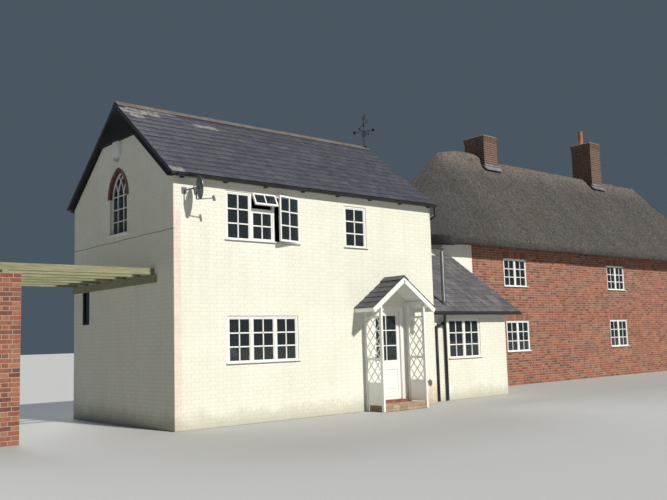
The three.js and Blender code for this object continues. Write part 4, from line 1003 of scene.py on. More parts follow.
class COTTAGE_OT_chimneys(bpy.types.Operator):
    """Build the chimneys' brickwork, corbelled caps, flashings and pot"""

    bl_idname = "cottage.chimneys"
    bl_label = "Chimneys"

    def execute(self, context):
        course, inset = 0.075, 0.001
        y0, y1 = STACK_Y
        for index, (node, (x0, top)) in enumerate(STACKS.items()):
            x1 = x0 + STACK_WIDTH
            crown = top - CAP_DEPTH
            foot = crown - course * math.ceil((crown - STACK_FOOT) / course)
            seed = 41 + index * 20
            items = stack_bricks(node, x0, x1, y0, y1, foot, crown, seed)
            core = [((x0 + inset, y0 + inset, STACK_FOOT - 0.05), (x1 - inset, y1 - inset, crown))]
            for step, (grow, low, high) in enumerate(CAP):
                low_corner = (x0 - grow, y0 - grow, crown + low)
                high_corner = (x1 + grow, y1 + grow, crown + high)
                core.append((low_corner, high_corner))
                spans = [end for pair in zip(low_corner, high_corner) for end in pair]
                items += stack_bricks(f"{node}_cap{step}", *spans, seed + 4 + step * 4, course=high - low)
            finish(merged(f"{node}_bricks", items), "red brick")
            core.append(((x0 + 0.02, y0 + 0.02, crown + CAP[-1][2]), (x1 - 0.02, y1 - 0.02, top)))
            finish(lay_blocks(f"{node}_core", core, HOUSE_AXES, 0.004), "lime mortar", nodes=[node])
            finish(self.flashing(node, x0, x1, y0), "lead")
        self.pot()
        return {"FINISHED"}

    def flashing(self, node, x0, x1, y0):
        """A lead apron on the thatch in front of a stack"""
        pitch = math.atan2(THATCH["rise"], THATCH["run"])
        eave_y, eave_z = THATCH["eave"]
        height = eave_z + (y0 - eave_y) / THATCH["run"] * THATCH["rise"]
        down = (0, -math.cos(pitch), -math.sin(pitch))
        out = (0, -math.sin(pitch), math.cos(pitch))
        boxes, angles = [], []
        for index in range(5):
            left = -0.09 + index * 0.182
            boxes.append(((left, 0.0, -0.012), (left + 0.184, 0.22, 0.006)))
            angles.append((-1) ** index * 0.02)
        boxes.append(((-0.02, -0.06, 0.0), (x1 - x0 + 0.02, 0.03, 0.05)))
        angles.append(0.0)
        matrix = axes((1, 0, 0), down, out, (x0, y0, height))
        return lay_blocks(f"{node}_flashing", boxes, matrix, 0.002, turns=("Y", angles))

    def pot(self):
        """A tapered clay pot with a rolled rim, hollow at its mouth"""
        profile = (
            (0.112, 9.19), (0.112, 9.225), (0.106, 9.235), (0.096, 9.66), (0.108, 9.68), (0.108, 9.715),
            (0.098, 9.73), (0.094, 9.76), (0.106, 9.775), (0.106, 9.806), (0.098, 9.816), (0.084, 9.816),
            (0.078, 9.79), (0.078, 9.5), (0.0005, 9.5),
        )
        centre = (STACKS["right_chimney"][0] + STACK_WIDTH / 2, POT_Y)
        pot = turned("right_chimney_pot", profile, centre, 32)
        smooth(pot, 50)
        finish(pot, "clay pot")


class COTTAGE_OT_gothic_window(bpy.types.Operator):
    """Set the pointed window's brick arch and bars round its frame and glass"""

    bl_idname = "cottage.gothic_window"
    bl_label = "Gable window"

    def execute(self, context):
        centre, half, ring = -GOTHIC["centre"], GOTHIC["half"], GOTHIC["ring"]
        matrix = wall_axes("left", 0)
        inset = GOTHIC["radius"] - half
        middle = GOTHIC["radius"] + ring / 2
        crown = math.acos(inset / (middle + ring * 0.1))
        count = 10
        tall, wide = (middle * crown / count - 0.008) / 2, ring / 2
        boxes, angles = [], []
        for side in (1, -1):
            for index in range(count):
                turn = crown * (index + 0.5) / count
                u = centre + side * (middle * math.cos(turn) - inset)
                z = GOTHIC["spring"] + middle * math.sin(turn)
                boxes.append(((u - wide + 0.002, -0.0145, z - tall), (u + wide - 0.002, 0.1, z + tall)))
                angles.append(-side * turn)
        arch = lay_blocks("gothic_arch_bricks", boxes, matrix, 0.004, turns=("Y", angles), seed=61)
        finish(arch, "brown arch brick")
        dressed_node("gothic_window_frame", "gothic_window_joinery", "white gloss paint", 0.003)
        reach = half - 0.03
        bars = [((centre - reach, 0.054, height - 0.010), (centre + reach, 0.0695, height + 0.010))
                for height in (4.015, 4.265, 4.53)]
        finish(lay_blocks("gothic_window_bars", bars, matrix), "white gloss paint")
        return {"FINISHED"}


# Slates
def lay_slates(name, start, along, upward, length, rise, seed, limed=()):
    """Courses of slates up a slope, from the left end of its eave.

    limed holds spans along and up the slope where the slates are stained by mortar.
    """
    sizes = bpy.context.scene.cottage_roofs
    width = sizes.slate_width
    along, upward = Vector(along).normalized(), Vector(upward).normalized()
    matrix = axes(along, upward, along.cross(upward), start)
    random = np.random.default_rng(seed)
    thick, lap = 0.007, 0.06
    rows = max(1, round(rise / sizes.gauge))
    gauge = rise / rows
    tilt = math.atan2(thick * 1.35, gauge)
    boxes, angles, shades = [], [], []
    for row in range(rows):
        foot = row * gauge
        reach = min(gauge + lap, rise - foot)
        left = -width / 2 if row % 2 else 0.0
        while left < length - 0.02:
            a, b = max(left, 0.0), min(left + width, length)
            left += width
            if b - a < 0.03:
                continue
            low = foot + random.uniform(-0.003, 0.003)
            lift = 0.001 + reach / 2 * math.sin(tilt) + thick / 2 + random.uniform(0, 0.0012)
            boxes.append(((a + 0.0015, low, lift - thick / 2), (b - 0.0015, low + reach, lift + thick / 2)))
            angles.append(-tilt + random.uniform(-0.004, 0.004))
            middle = ((a + b) / 2, foot + gauge / 2)
            stained = any(u0 < middle[0] < u1 and v0 < middle[1] < v1 for u0, u1, v0, v1 in limed)
            shades.append(2.0 if stained else random.random())
    return lay_blocks(name, boxes, matrix, 0.0015, turns=("X", angles), shades=shades)


def ridge_tiles(name, start, along, length, slope, seed, tile=0.45):
    """Angled ridge tiles end to end, each a pair of leaves"""
    along = Vector(along).normalized()
    count = max(1, round(length / tile))
    step = length / count
    pitch = math.atan(slope)
    side = Vector((0, 0, 1)).cross(along)
    half, thick = 0.085, 0.006
    boxes, angles = [], []
    for index in range(count):
        a, b = index * step + 0.002, (index + 1) * step - 0.002
        for hand in (1, -1):
            out, height = hand * half * math.cos(pitch), 0.026 - half * math.sin(pitch)
            boxes.append(((a, out - half, height - thick), (b, out + half, height + thick)))
            angles.append(-hand * pitch)
    matrix = axes(along, side, (0, 0, 1), start)
    return lay_blocks(name, boxes, matrix, turns=("X", angles), seed=seed)


class COTTAGE_OT_slate_roofs(bpy.types.Operator):
    """Slate the wing, the link and the porch, and lay their ridges"""

    bl_idname = "cottage.slate_roofs"
    bl_label = "Slate roofs"

    def execute(self, context):
        self.wing()
        self.link()
        self.porch()
        return {"FINISHED"}

    def wing(self):
        c, s = slope_parts(WING_SLOPE)
        left, length = WING_SLATES_LEFT, WING_SLATES_LENGTH
        limed = ((0, 0.29, 0, 0.2), (0.25, 1.25, 2.65, 3), (0, 0.75, 2.45, 2.65),
                 (0.1, 0.5, 2.2, 2.45), (1.7, 2.2, 2.2, 2.45))
        run = WING_MIDDLE + FRONT_OVERHANG
        start = (left, -FRONT_OVERHANG, WING_APEX - WING_SLOPE * run)
        front = lay_slates("wing_front_slates", start, (1, 0, 0), (0, c, s), length, run / c, 71, limed)
        run = WING_DEPTH - WING_MIDDLE + REAR_OVERHANG
        start = (left + length, WING_DEPTH + REAR_OVERHANG, WING_APEX - WING_SLOPE * run)
        rear = lay_slates("wing_rear_slates", start, (-1, 0, 0), (0, -c, s), length, run / c, 72)
        for item in (front, rear):
            finish(item, "wing slates")
        start = (left, WING_MIDDLE, WING_APEX + 0.012)
        ridge = ridge_tiles("wing_ridge", start, (1, 0, 0), length, WING_SLOPE, 73)
        finish(ridge, "ridge tile", nodes=["wing_ridge_tiles"])

    def link(self):
        c, s = slope_parts(LINK_SLOPE)
        rear_run = 1.97
        start = (6.832, 0.154, 2.11)
        front = lay_slates("link_front_slates", start, (1, 0, 0), (0, c, s), 3.521, 2.306 / c, 74)
        start = (9.118, 4.43, LINK_APEX - LINK_SLOPE * rear_run)
        rear = lay_slates("link_rear_slates", start, (-1, 0, 0), (0, -c, s), 2.286, rear_run / c, 75)
        start = (6.835, LINK_APEX_Y, LINK_APEX + 0.012)
        ridge = ridge_tiles("link_ridge", start, (1, 0, 0), 2.28, LINK_SLOPE, 76)
        for item in (front, rear, ridge):
            finish(item, "link slates")

    def porch(self):
        """The porch's slates, ridge, white bargeboards and boarded soffit"""
        centre, apex, eave = PORCH["centre"], PORCH["apex"], PORCH["eave"]
        reach, verge = PORCH["eave_reach"], PORCH["verge"]
        wall, foot = -0.002, eave - 0.012
        slope = (apex - eave) / reach
        c, s = slope_parts(slope)
        length, rise = -verge - 0.002, reach / c
        start = (centre - reach, wall, foot)
        left = lay_slates("porch_left_slates", start, (0, -1, 0), (c, 0, s), length, rise, 77)
        start = (centre + reach, verge, foot)
        right = lay_slates("porch_right_slates", start, (0, 1, 0), (-c, 0, s), length, rise, 78)
        start = (centre, verge, apex - 0.004)
        ridge = ridge_tiles("porch_ridge", start, (0, 1, 0), length, slope, 79, 0.31)
        finish(merged("porch_slates", [left, right, ridge]), "wing slates", nodes=["porch_roof"])
        boxes, angles = [], []
        half = math.hypot(reach, apex - eave) / 2
        z = (apex + eave) / 2
        for hand in (1, -1):
            x = centre + hand * reach / 2
            end = centre + hand * reach - 0.012 * hand
            boxes.append(((x - half, verge + 0.004, z - 0.04), (x + half, wall, z - 0.022)))
            boxes.append(((x - half, verge + 0.002, z - 0.132), (x + half, verge + 0.028, z - 0.032)))
            boxes.append(((end - 0.02, verge + 0.03, eave - 0.1), (end + 0.02, wall, eave - 0.03)))
            angles += [hand * math.atan(slope), hand * math.atan(slope), 0.0]
        boards = lay_blocks("porch_boards", boxes, HOUSE_AXES, turns=("Y", angles), seed=80)
        finish(boards, "white gloss paint")


# Thatch
def points_of(mesh, key="co"):
    points = np.zeros(len(mesh.vertices) * 3, np.float32)
    mesh.vertices.foreach_get(key, points)
    return points.reshape(-1, 3)


def straw_run(points):
    """How far round the roof and how far down it each point is, in metres"""
    x, y = points[:, 0] - SHIFT.x, points[:, 1] - SHIFT.y
    low, high, middle = SPINE
    near = np.clip(x, low, high)
    dx, dy = x - near, y - middle
    down = np.hypot(dx, dy)
    angle = np.arctan2(dx, -dy)
    round_end = np.where(x > high, (high - low) + angle * 3.0, angle * 3.0)
    back = np.where(y > middle, (high - low) + 3.0 * math.pi + (high - near), near - low)
    round_all = np.where((x >= low) & (x <= high), back, round_end)
    return np.stack([round_all, down * 1.4, np.zeros_like(down)], 1)


def straw_attribute(item):
    run = straw_run(points_of(item.data))
    layer = item.data.attributes.new("straw", "FLOAT_VECTOR", "POINT")
    layer.data.foreach_set("vector", run.astype(np.float32).ravel())


class COTTAGE_OT_thatch(bpy.types.Operator):
    """Comb the thatch over its frame and lay loose straws on it"""

    bl_idname = "cottage.thatch"
    bl_label = "Thatch"

    def execute(self, context):
        cell = context.scene.cottage_roofs.straw_cell
        coat = node_copy("thatch_roof", "thatch_coat")
        apply_modifier(coat, "even cells", "REMESH", mode="VOXEL", voxel_size=cell)
        apply_modifier(coat, "soft edges", "SMOOTH", factor=0.5, iterations=8)
        for label, size, strength in (("soft waves", 1.3, 0.05), ("lumps", 0.3, 0.009)):
            cloud = bpy.data.textures.new(label, "CLOUDS")
            cloud.noise_scale = size
            cloud.noise_depth = 2
            apply_modifier(coat, label, "DISPLACE", texture=cloud, texture_coords="LOCAL", strength=strength,
                           mid_level=1.0)
        straw_attribute(coat)
        self.comb(coat.data)
        smooth(coat, 180)
        finish(coat, "thatch", nodes=["thatch_roof"])
        straws = self.straws(coat.data)
        straw_attribute(straws)
        finish(straws, "thatch straws")
        return {"FINISHED"}

    def comb(self, mesh):
        """Shallow ridges that run down the slope, as straw that has been dressed"""
        depth = 0.005
        points = points_of(mesh)
        heights = [noise.noise(Vector((u * 3.2, v * 0.35, 0))) for u, v, _ in straw_run(points)]
        lift = np.array(heights) * depth - depth
        moved = points + points_of(mesh, "normal") * lift[:, None]
        mesh.vertices.foreach_set("co", moved.astype(np.float32).ravel())
        mesh.update()

    def straws(self, mesh):
        """Short bundles of straw lying down the slope, kept inside the frame's thatch"""
        tree = BVHTree.FromPolygons([v.co for v in mesh.vertices], [tuple(p.vertices) for p in mesh.polygons])
        random = np.random.default_rng(5)
        corners, faces = self.model_straw()
        pitch, stray, sky, straight_down = 0.105, 0.05, 11, Vector((0, 0, -1))
        placed, shades = [], []
        for x in np.arange(*STRAW_AREA[0], pitch):
            for y in np.arange(*STRAW_AREA[1], pitch):
                across, along = random.uniform(-stray, stray), random.uniform(-stray, stray)
                start = Vector((x + across, y + along, sky)) + SHIFT
                spot, normal, _, _ = tree.ray_cast(start, straight_down)
                if spot is None or normal.z < 0.25 or spot.z < 4.2 or normal.z > 0.93:
                    continue
                down = straight_down - normal * -normal.z
                if down.length < 0.2:
                    continue
                down.normalize()
                down = Matrix.Rotation(random.uniform(-0.3, 0.3), 3, normal) @ down
                size = [random.uniform(*limits) for limits in ((0.010, 0.022), (0.10, 0.22), (0.005, 0.010))]
                basis = np.array([down.cross(normal), down, normal]) * np.array(size)[:, None]
                placed.append(corners @ basis + np.array(spot + normal * 0.003))
                shades.append(random.random())
        box = np.array(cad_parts["thatch_roof"].bound_box)
        return piece_from("thatch_straws", np.clip(np.array(placed), box.min(0), box.max(0)), faces, shades)

    def model_straw(self):
        """One tapered bundle, a metre each way: thin at its upper end and thick at its cut end"""
        bundle = new_block()
        select_near_face(bundle)
        bpy.ops.transform.resize(value=(0.35, 1, 0.2))
        bpy.ops.transform.translate(value=(0, 0, -0.4))
        return taken_apart(bundle)


# Windows and door
def frame_wood(u0, u1, z0, z1, sill=True):
    """A window frame's stiles, head and foot, and its sill, as low and high corners along the wall"""
    edge = 0.001
    wood = [
        ((u0 + edge, WOOD_FRONT, z0 + edge), (u0 + STILE, WOOD_BACK, z1 - edge)),
        ((u1 - STILE, WOOD_FRONT, z0 + edge), (u1 - edge, WOOD_BACK, z1 - edge)),
        ((u0 + STILE, WOOD_FRONT, z1 - STILE), (u1 - STILE, WOOD_BACK, z1 - edge)),
        ((u0 + STILE, WOOD_FRONT, z0 + edge), (u1 - STILE, WOOD_BACK, z0 + FOOT)),
    ]
    if sill:
        wood.append(((u0 - 0.034, -0.041, z0 + 0.002), (u1 + 0.034, -0.001, z0 + 0.022)))
        wood.append(((u0 + edge, -0.02, z0 + 0.002), (u1 - edge, 0.03, z0 + FOOT - 0.002)))
    return wood


def mullion(middle, z0, z1):
    return ((middle - HALF_MULLION, WOOD_FRONT, z0 + FOOT), (middle + HALF_MULLION, WOOD_BACK, z1 - STILE))


def light_parts(left, right, bottom, top, columns, rows, stile=None):
    """A sash that fills one light of a frame, with a hair of room round it"""
    gap = 0.002
    return sash_parts(left + gap, right - gap, bottom + gap, top - gap, columns, rows, 0.02, stile=stile)


def frame_parts(span, height, mullions, columns=2, rows=3, sill=True):
    """Wood and glass of a framed window"""
    (u0, u1), (z0, z1) = span, height
    wood, glass = frame_wood(u0, u1, z0, z1, sill), []
    edges = [u0 + STILE, *mullions, u1 - STILE]
    last = len(edges) - 2
    for index, (left, right) in enumerate(zip(edges, edges[1:])):
        if index:
            wood.append(mullion(left, z0, z1))
            left += HALF_MULLION
        if index < last:
            right -= HALF_MULLION
        parts, panes = light_parts(left, right, z0 + FOOT, z1 - STILE, columns, rows)
        wood += parts
        glass += panes
    return wood, glass


def sash_parts(left, right, bottom, top, columns, rows, front, thick=0.044, stile=None):
    """A sash with its glazing bars, and its panes"""
    sizes = bpy.context.scene.cottage_joinery
    stile, bar = stile or sizes.stile, sizes.bar / 2
    back = front + thick
    u0, u1, z0, z1 = left + stile, right - stile, bottom + stile * 1.15, top - stile
    wood = [((left, front, bottom), (u0, back, top)), ((u1, front, bottom), (right, back, top)),
            ((u0, front, z1), (u1, back, top)), ((u0, front, bottom), (u1, back, z0))]
    for index in range(1, columns):
        middle = u0 + (u1 - u0) * index / columns
        wood.append(((middle - bar, front + 0.004, z0), (middle + bar, back - 0.006, z1)))
    for index in range(1, rows):
        middle = z0 + (z1 - z0) * index / rows
        wood.append(((u0, front + 0.004, middle - bar), (u1, back - 0.006, middle + bar)))
    pane, half, lap = front + thick / 2, 0.002, 0.006
    return wood, [((u0 - lap, pane - half, z0 - lap), (u1 + lap, pane + half, z1 + lap))]


def hang_window(name, matrix, parts, nodes, seed, look="white gloss paint"):
    wood, glass = parts
    finish(lay_blocks(f"{name}_joinery", wood, matrix, seed=seed), look, nodes=nodes)
    finish(lay_blocks(f"{name}_panes", glass, matrix, GLASS_EASE, seed=seed), "window glass")


class COTTAGE_OT_windows(bpy.types.Operator):
    """Make every window's frame, sashes, glazing bars and panes"""

    bl_idname = "cottage.windows"
    bl_label = "Windows"

    def execute(self, context):
        own = ("slot_window", "triple_window")
        plain = [name for name in WINDOWS if name not in own]
        for seed, name in enumerate(plain, 90):
            facing, face, span, height, mullions = WINDOWS[name]
            uprights = sorted(on_wall(facing, m, m)[0] for m in mullions)
            parts = frame_parts(on_wall(facing, *span), height, uprights)
            hang_window(name, wall_axes(facing, face), parts, [name], seed)
        facing, face, span, height, _ = WINDOWS["slot_window"]
        parts = frame_parts(on_wall(facing, *span), height, (), 1, 1, False)
        hang_window("slot_window", wall_axes(facing, face), parts, ["slot_window"], 99, "black painted wood")
        seed = 100
        for side, facing, face in (("front", "front", RANGE_FRONT), ("rear", "back", RANGE_BACK)):
            for storey, height in RANGE_STOREYS.items():
                wood, glass = [], []
                for low, high in RANGE_WINDOWS:
                    span = on_wall(facing, low, high)
                    parts, panes = frame_parts(span, height, [sum(span) / 2])
                    wood += parts
                    glass += panes
                name = f"range_{side}_{storey}_windows"
                hang_window(name, wall_axes(facing, face), (wood, glass), [name], seed)
                seed += 1
        self.triple_window()
        return {"FINISHED"}

    def triple_window(self):
        """The three-light window, with its fanlight and right casement standing open"""
        (u0, u1), (z0, z1), transom = TRIPLE["span"], TRIPLE["height"], TRIPLE["transom"]
        first, second = TRIPLE["mullions"]
        half = HALF_MULLION
        wood = frame_wood(u0, u1, z0, z1)
        wood.append(((first + half, WOOD_FRONT, transom), (second - half, WOOD_BACK, transom + 0.052)))
        wood += [mullion(first, z0, z1), mullion(second, z0, z1)]
        left, left_glass = light_parts(u0 + STILE, first - half, z0 + FOOT, z1 - STILE, 2, 3)
        centre, centre_glass = light_parts(first + half, second - half, z0 + FOOT, transom, 2, 2,
                                           FANLIGHT["stile"])
        parts = (wood + left + centre, left_glass + centre_glass)
        nodes = ["triple_window_frame", "triple_window_glass"]
        hang_window("triple_window", wall_axes("front", 0), parts, nodes, 110)
        x0, x1 = FANLIGHT["x"]
        thick = FANLIGHT["thick"]
        parts = sash_parts(0, x1 - x0, -FANLIGHT["height"], 0, 2, 1, -thick, thick, FANLIGHT["stile"])
        hinge = self.hinge((x0, HINGE_FACE, FANLIGHT["top"]), -FANLIGHT["angle"], "X")
        hang_window("triple_window_fanlight", hinge, parts, ["triple_window_fanlight"], 111)
        tall, thick = CASEMENT["top"] - CASEMENT["foot"], CASEMENT["thick"]
        parts = sash_parts(-CASEMENT["width"], 0, 0, tall, 2, 3, -thick, thick, CASEMENT["stile"])
        hinge = self.hinge((CASEMENT["x1"], HINGE_FACE, CASEMENT["foot"]), CASEMENT["angle"], "Z")
        hang_window("triple_window_casement", hinge, parts, ["triple_window_casement"], 112)
        stays = [round_bar("stay_rod", (2.36, -0.075, 3.57), (2.33, 0.03, 3.56), 0.004, 8),
                 round_bar("stay_arm", (1.98, -0.1, 4.14), (1.98, 0.03, 4.11), 0.004, 8)]
        finish(merged("window_stays", stays), "dark iron")

    def hinge(self, place, angle, axis):
        return Matrix.Translation(Vector(place) + SHIFT) @ Matrix.Rotation(math.radians(angle), 4, axis)


class COTTAGE_OT_front_door(bpy.types.Operator):
    """Make the half-glazed front door, its frame, hinges and handles"""

    bl_idname = "cottage.front_door"
    bl_label = "Front door"

    def execute(self, context):
        centre, half, foot, head = DOOR["centre"], DOOR["half"], DOOR["foot"], DOOR["head"]
        front, back = DOOR["front"], DOOR["back"]
        left, right = centre - half, centre + half
        bar = front + 0.006, back - 0.006
        u0, u1 = centre - DOOR["pane"], centre + DOOR["pane"]
        kick, lock, pane_foot, pane_head = 0.37, 0.85, 1.025, 2.03
        wood = [
            ((left, front, foot), (u0, back, head)), ((u1, front, foot), (right, back, head)),
            ((u0, front, pane_head), (u1, back, head)), ((u0, front, lock), (u1, back, pane_foot)),
            ((u0, front, foot), (u1, back, kick)),
            ((u0 - 0.004, front + 0.014, 0.36), (u1 + 0.004, back - 0.014, 0.86)),
            ((u0 + 0.05, front + 0.004, 0.42), (u1 - 0.05, back - 0.004, 0.80)),
            ((centre - 0.011, bar[0], pane_foot), (centre + 0.011, bar[1], pane_head)),
        ]
        for height in (1.36, 1.695):
            wood.append(((u0, bar[0], height - 0.011), (u1, bar[1], height + 0.011)))
        bead, y0, y1 = 0.016, front + 0.003, back - 0.003
        for z0, z1 in ((kick, lock), (pane_foot, pane_head)):
            for low, high in ((z0, z0 + bead), (z1 - bead, z1)):
                wood.append(((u0, y0, low), (u1, y1, high)))
            for low, high in ((u0, u0 + bead), (u1 - bead, u1)):
                wood.append(((low, y0, z0), (high, y1, z1)))
        leaf = lay_blocks("front_door_joinery", wood, HOUSE_AXES, seed=121)
        finish(leaf, "white gloss paint", "front_door", ["front_door_leaf"])
        glass = [((u0 - 0.004, 0.085, pane_foot - 0.004), (u1 + 0.004, 0.089, pane_head + 0.004))]
        pane = lay_blocks("front_door_pane", glass, HOUSE_AXES, GLASS_EASE, seed=122)
        finish(pane, "window glass", "front_door")
        self.handles(left + 0.055, front, back)
        dressed_node("front_door_frame", "front_door_surround", "white gloss paint", 0.003)
        return {"FINISHED"}

    def handles(self, x, front, back):
        """A lever and plate on each face, and the leaf's hinge knuckles"""
        height, radius = 1.11, 0.009
        bars = []
        for side, y in ((-1, front), (1, back)):
            out = y + side * 0.048
            knee, tip = (x - radius, out, height), (x + 0.105, out, height)
            y0, y1 = sorted((y - side * 0.001, y + side * 0.006))
            plate = ((x - 0.021, y0, 1.03), (x + 0.021, y1, 1.19))
            rose, end = (x, y - side * 0.01, height), (x, out, height)
            bars.append(round_bar("spindle", rose, end, radius, 20, 0.001))
            bars.append(round_bar("lever", knee, tip, radius, 20, 0.004))
            bars.append(lay_blocks("plate", [plate], HOUSE_AXES, 0.002))
        pin = DOOR["centre"] + 0.413
        for low in (0.33, 1.09, 1.88):
            z0, z1 = low + 0.0455, low + 0.09
            bars.append(round_bar("knuckle", (pin, 0.116, z0), (pin, 0.116, z1), 0.006, 16, 0.001))
            leaf = ((pin - 0.03, 0.1085, z0), (pin, 0.1125, z1))
            bars.append(lay_blocks("knuckle_plate", [leaf], HOUSE_AXES, GLASS_EASE))
        finish(merged("front_door_handles", bars), "dark iron", "front_door")


class COTTAGE_OT_porch(bpy.types.Operator):
    """Make the porch's posts, rails, panels, lattice and brick step"""

    bl_idname = "cottage.porch"
    bl_label = "Porch"

    def execute(self, context):
        post, wide, reach, front = PORCH["post"], PORCH["wide"] / 2, PORCH["reach"], PORCH["front"]
        slope = (PORCH["apex"] - PORCH["eave"]) / PORCH["eave_reach"]
        head = PORCH["apex"] - slope * (reach + wide) - 0.046
        wall = -post - 0.0003
        y0, y1 = front + 0.01, wall + 0.005
        rail, panel, skirt = 0.02, 0.010, 0.018
        field_foot, field_head = PORCH["lattice"]
        members = (
            (rail, head - 0.08, head), (rail, 1.07, 1.12), (rail, field_foot - 0.045, field_foot),
            (rail, field_head, field_head + 0.045), (panel, 0.15, 0.6), (skirt, 0.145, 0.205),
        )
        for side, node in ((-1, "porch_left_side"), (1, "porch_right_side")):
            x = PORCH["centre"] + side * reach
            boxes = [((x - wide, front, 0.001), (x + wide, front + post, head)),
                     ((x - wide, wall, 0.001), (x + wide, -0.0005, head))]
            boxes += [((x - half, y0, low), (x + half, y1, high)) for half, low, high in members]
            timbers = lay_blocks(f"{node}_frame", boxes, HOUSE_AXES, 0.004, seed=131)
            strips = self.lattice(node, x, front + post, wall)
            finish(merged(f"{node}_joinery", [timbers, strips]), "white gloss paint", nodes=[node])
        self.step()
        return {"FINISHED"}

    def lattice(self, node, x, y0, y1):
        """Crossed laths in two layers, clipped to their field"""
        (foot, head), pitch, half = PORCH["lattice"], 0.25, 0.013
        run = y1 - y0
        rise = run * 1.25
        boxes, angles = [], []
        start = foot - rise
        while start < head:
            low, high = max(0.0, (foot - start) / rise), min(1.0, (head - start) / rise)
            if high - low > 0.04:
                for hand in (1, -1):
                    ends = [(y0 + run * (t if hand == 1 else 1 - t), start + rise * t) for t in (low, high)]
                    y, z = (sum(pair) / 2 for pair in zip(*ends))
                    reach = (math.dist(*ends) + 0.012) / 2
                    near, far = sorted((x - hand * 0.007, x - hand * 0.0005))
                    boxes.append(((near, y - reach, z - half), (far, y + reach, z + half)))
                    angles.append(hand * math.atan2(rise, run))
            start += pitch
        return lay_blocks(f"{node}_lattice", boxes, HOUSE_AXES, 0.0015, turns=("X", angles), seed=132)

    def step(self):
        """Bricks on edge over the step and the porch floor"""
        joint, flat, proud = 0.004, -0.003, -0.004

        def bricks(name, courses, out, matrix, seed):
            boxes = [((left + joint, out, low), (right - joint, 0.01, high))
                     for marks, low, high in courses for left, right in zip(marks, marks[1:])]
            return lay_blocks(name, boxes, matrix, 0.004, True, seed=seed)

        floor, pitch = PORCH["floor"], DOORWAY * 2 / 12
        marks = [DOOR["centre"] - DOORWAY + pitch * index for index in range(13)]
        top = bricks("threshold_bricks", [(marks, -0.064, 0.2)], flat, top_axes(THRESHOLD_TOP), 133)
        rise = [(marks, floor + 0.002, THRESHOLD_TOP)]
        riser = bricks("riser_bricks", rise, proud, wall_axes("front", -0.06), 136)
        finish(merged("porch_threshold_bricks", [top, riser]), "red brick")

        inner = PORCH["reach"] - PORCH["wide"] / 2 - 0.0003
        left, length, deep = PORCH["centre"] - inner, inner / 3, 0.12
        courses = []
        for row in range(4):
            low = -0.545 + row * deep
            shift = length / 2 if row % 2 else 0.0
            marks = sorted({0.0, *(min(length * index + shift, inner * 2) for index in range(7))})
            courses.append(([left + mark for mark in marks], low + joint, low + deep - joint))
        paving = bricks("paving_bricks", courses, flat, top_axes(floor), 134)
        marks = [left + length * index for index in range(7)]
        edge = [(pair, low, low + 0.056) for pair in zip(marks, marks[1:]) for low in (0.004, 0.066)]
        front = bricks("front_bricks", edge, proud, wall_axes("front", PORCH["front"]), 135)
        finish(merged("porch_paving_bricks", [paving, front]), "paving brick")


class COTTAGE_OT_trim(bpy.types.Operator):
    """Finish the bargeboards, gutters, alarm box, dish, flue and weathervane"""

    bl_idname = "cottage.trim"
    bl_label = "Trim and fittings"

    def execute(self, context):
        for row in (
            ("wing_bargeboards", "wing_bargeboard_joinery", "black painted wood", 0.006),
            ("wing_front_gutter", "wing_front_gutter_run", "black gutter", 0.0015, 1),
            ("wing_rear_gutter", "wing_rear_gutter_run", "black gutter", 0.0015, 1),
            ("link_gutter", "link_gutter_run", "black gutter", 0.0015, 1),
            ("alarm_box", "alarm_case", "alarm plastic", 0.012, 3),
            ("link_flue", "link_flue_pipe", "grey metal", 0.003, 2, "house", 45),
            ("satellite_dish", "dish_and_arm", "grey metal", 0),
            ("weathervane_mast", "vane_mast", "dark iron", 0.0015, 1),
            ("weathervane_pointer", "vane_pointer", "dark iron", 0.0012, 1, "vane_pointer"),
        ):
            dressed_node(*row)
        self.flue_collar()
        return {"FINISHED"}

    def flue_collar(self):
        """Lead slate round the foot of the flue"""
        c, s = slope_parts(LINK_SLOPE)
        height = LINK_APEX - LINK_SLOPE * (LINK_APEX_Y - FLUE[1])
        matrix = axes((1, 0, 0), (0, c, s), (0, -s, c), (*FLUE, height))
        sheet = [((-0.15, -0.17, 0.004), (0.15, 0.2, 0.019))]
        finish(lay_blocks("flue_flashing", sheet, matrix, 0.002), "lead")


class COTTAGE_OT_pergola(bpy.types.Operator):
    """Build the pergola's timbers and brick piers"""

    bl_idname = "cottage.pergola"
    bl_label = "Pergola"

    def execute(self, context):
        random = np.random.default_rng(9)
        boxes, angles = [], []
        wall, half = -0.0005, 0.03
        for index in range(RAFTERS["count"]):
            y = PIER_Y["pergola_front_pier"] + RAFTERS["pitch"] * index
            low_corner = (RAFTERS["end"], y - half, RAFTERS["foot"])
            boxes.append((low_corner, (wall, y + half, RAFTERS["head"])))
            angles.append(random.uniform(-0.03, 0.03))
        for low, high, foot in ((-0.0503, wall, 2.666), (-2.79, -2.69, 2.752)):
            boxes.append(((low, 0.62, foot), (high, 4.28, RAFTERS["foot"] + 0.001)))
            angles.append(0.0)
        item = lay_blocks("pergola_timbers", boxes, HOUSE_AXES, 0.006, turns=("X", angles), seed=141)
        finish(item, "weathered oak", nodes=["pergola_beams"])
        for seed, (node, y) in zip((151, 161), PIER_Y.items()):
            items = stack_bricks(node, *PIER_X, y - 0.225, y + 0.225, 0, 2.746, seed, course=0.0763)
            finish(merged(f"{node}_bricks", items), "red brick")
        return {"FINISHED"}


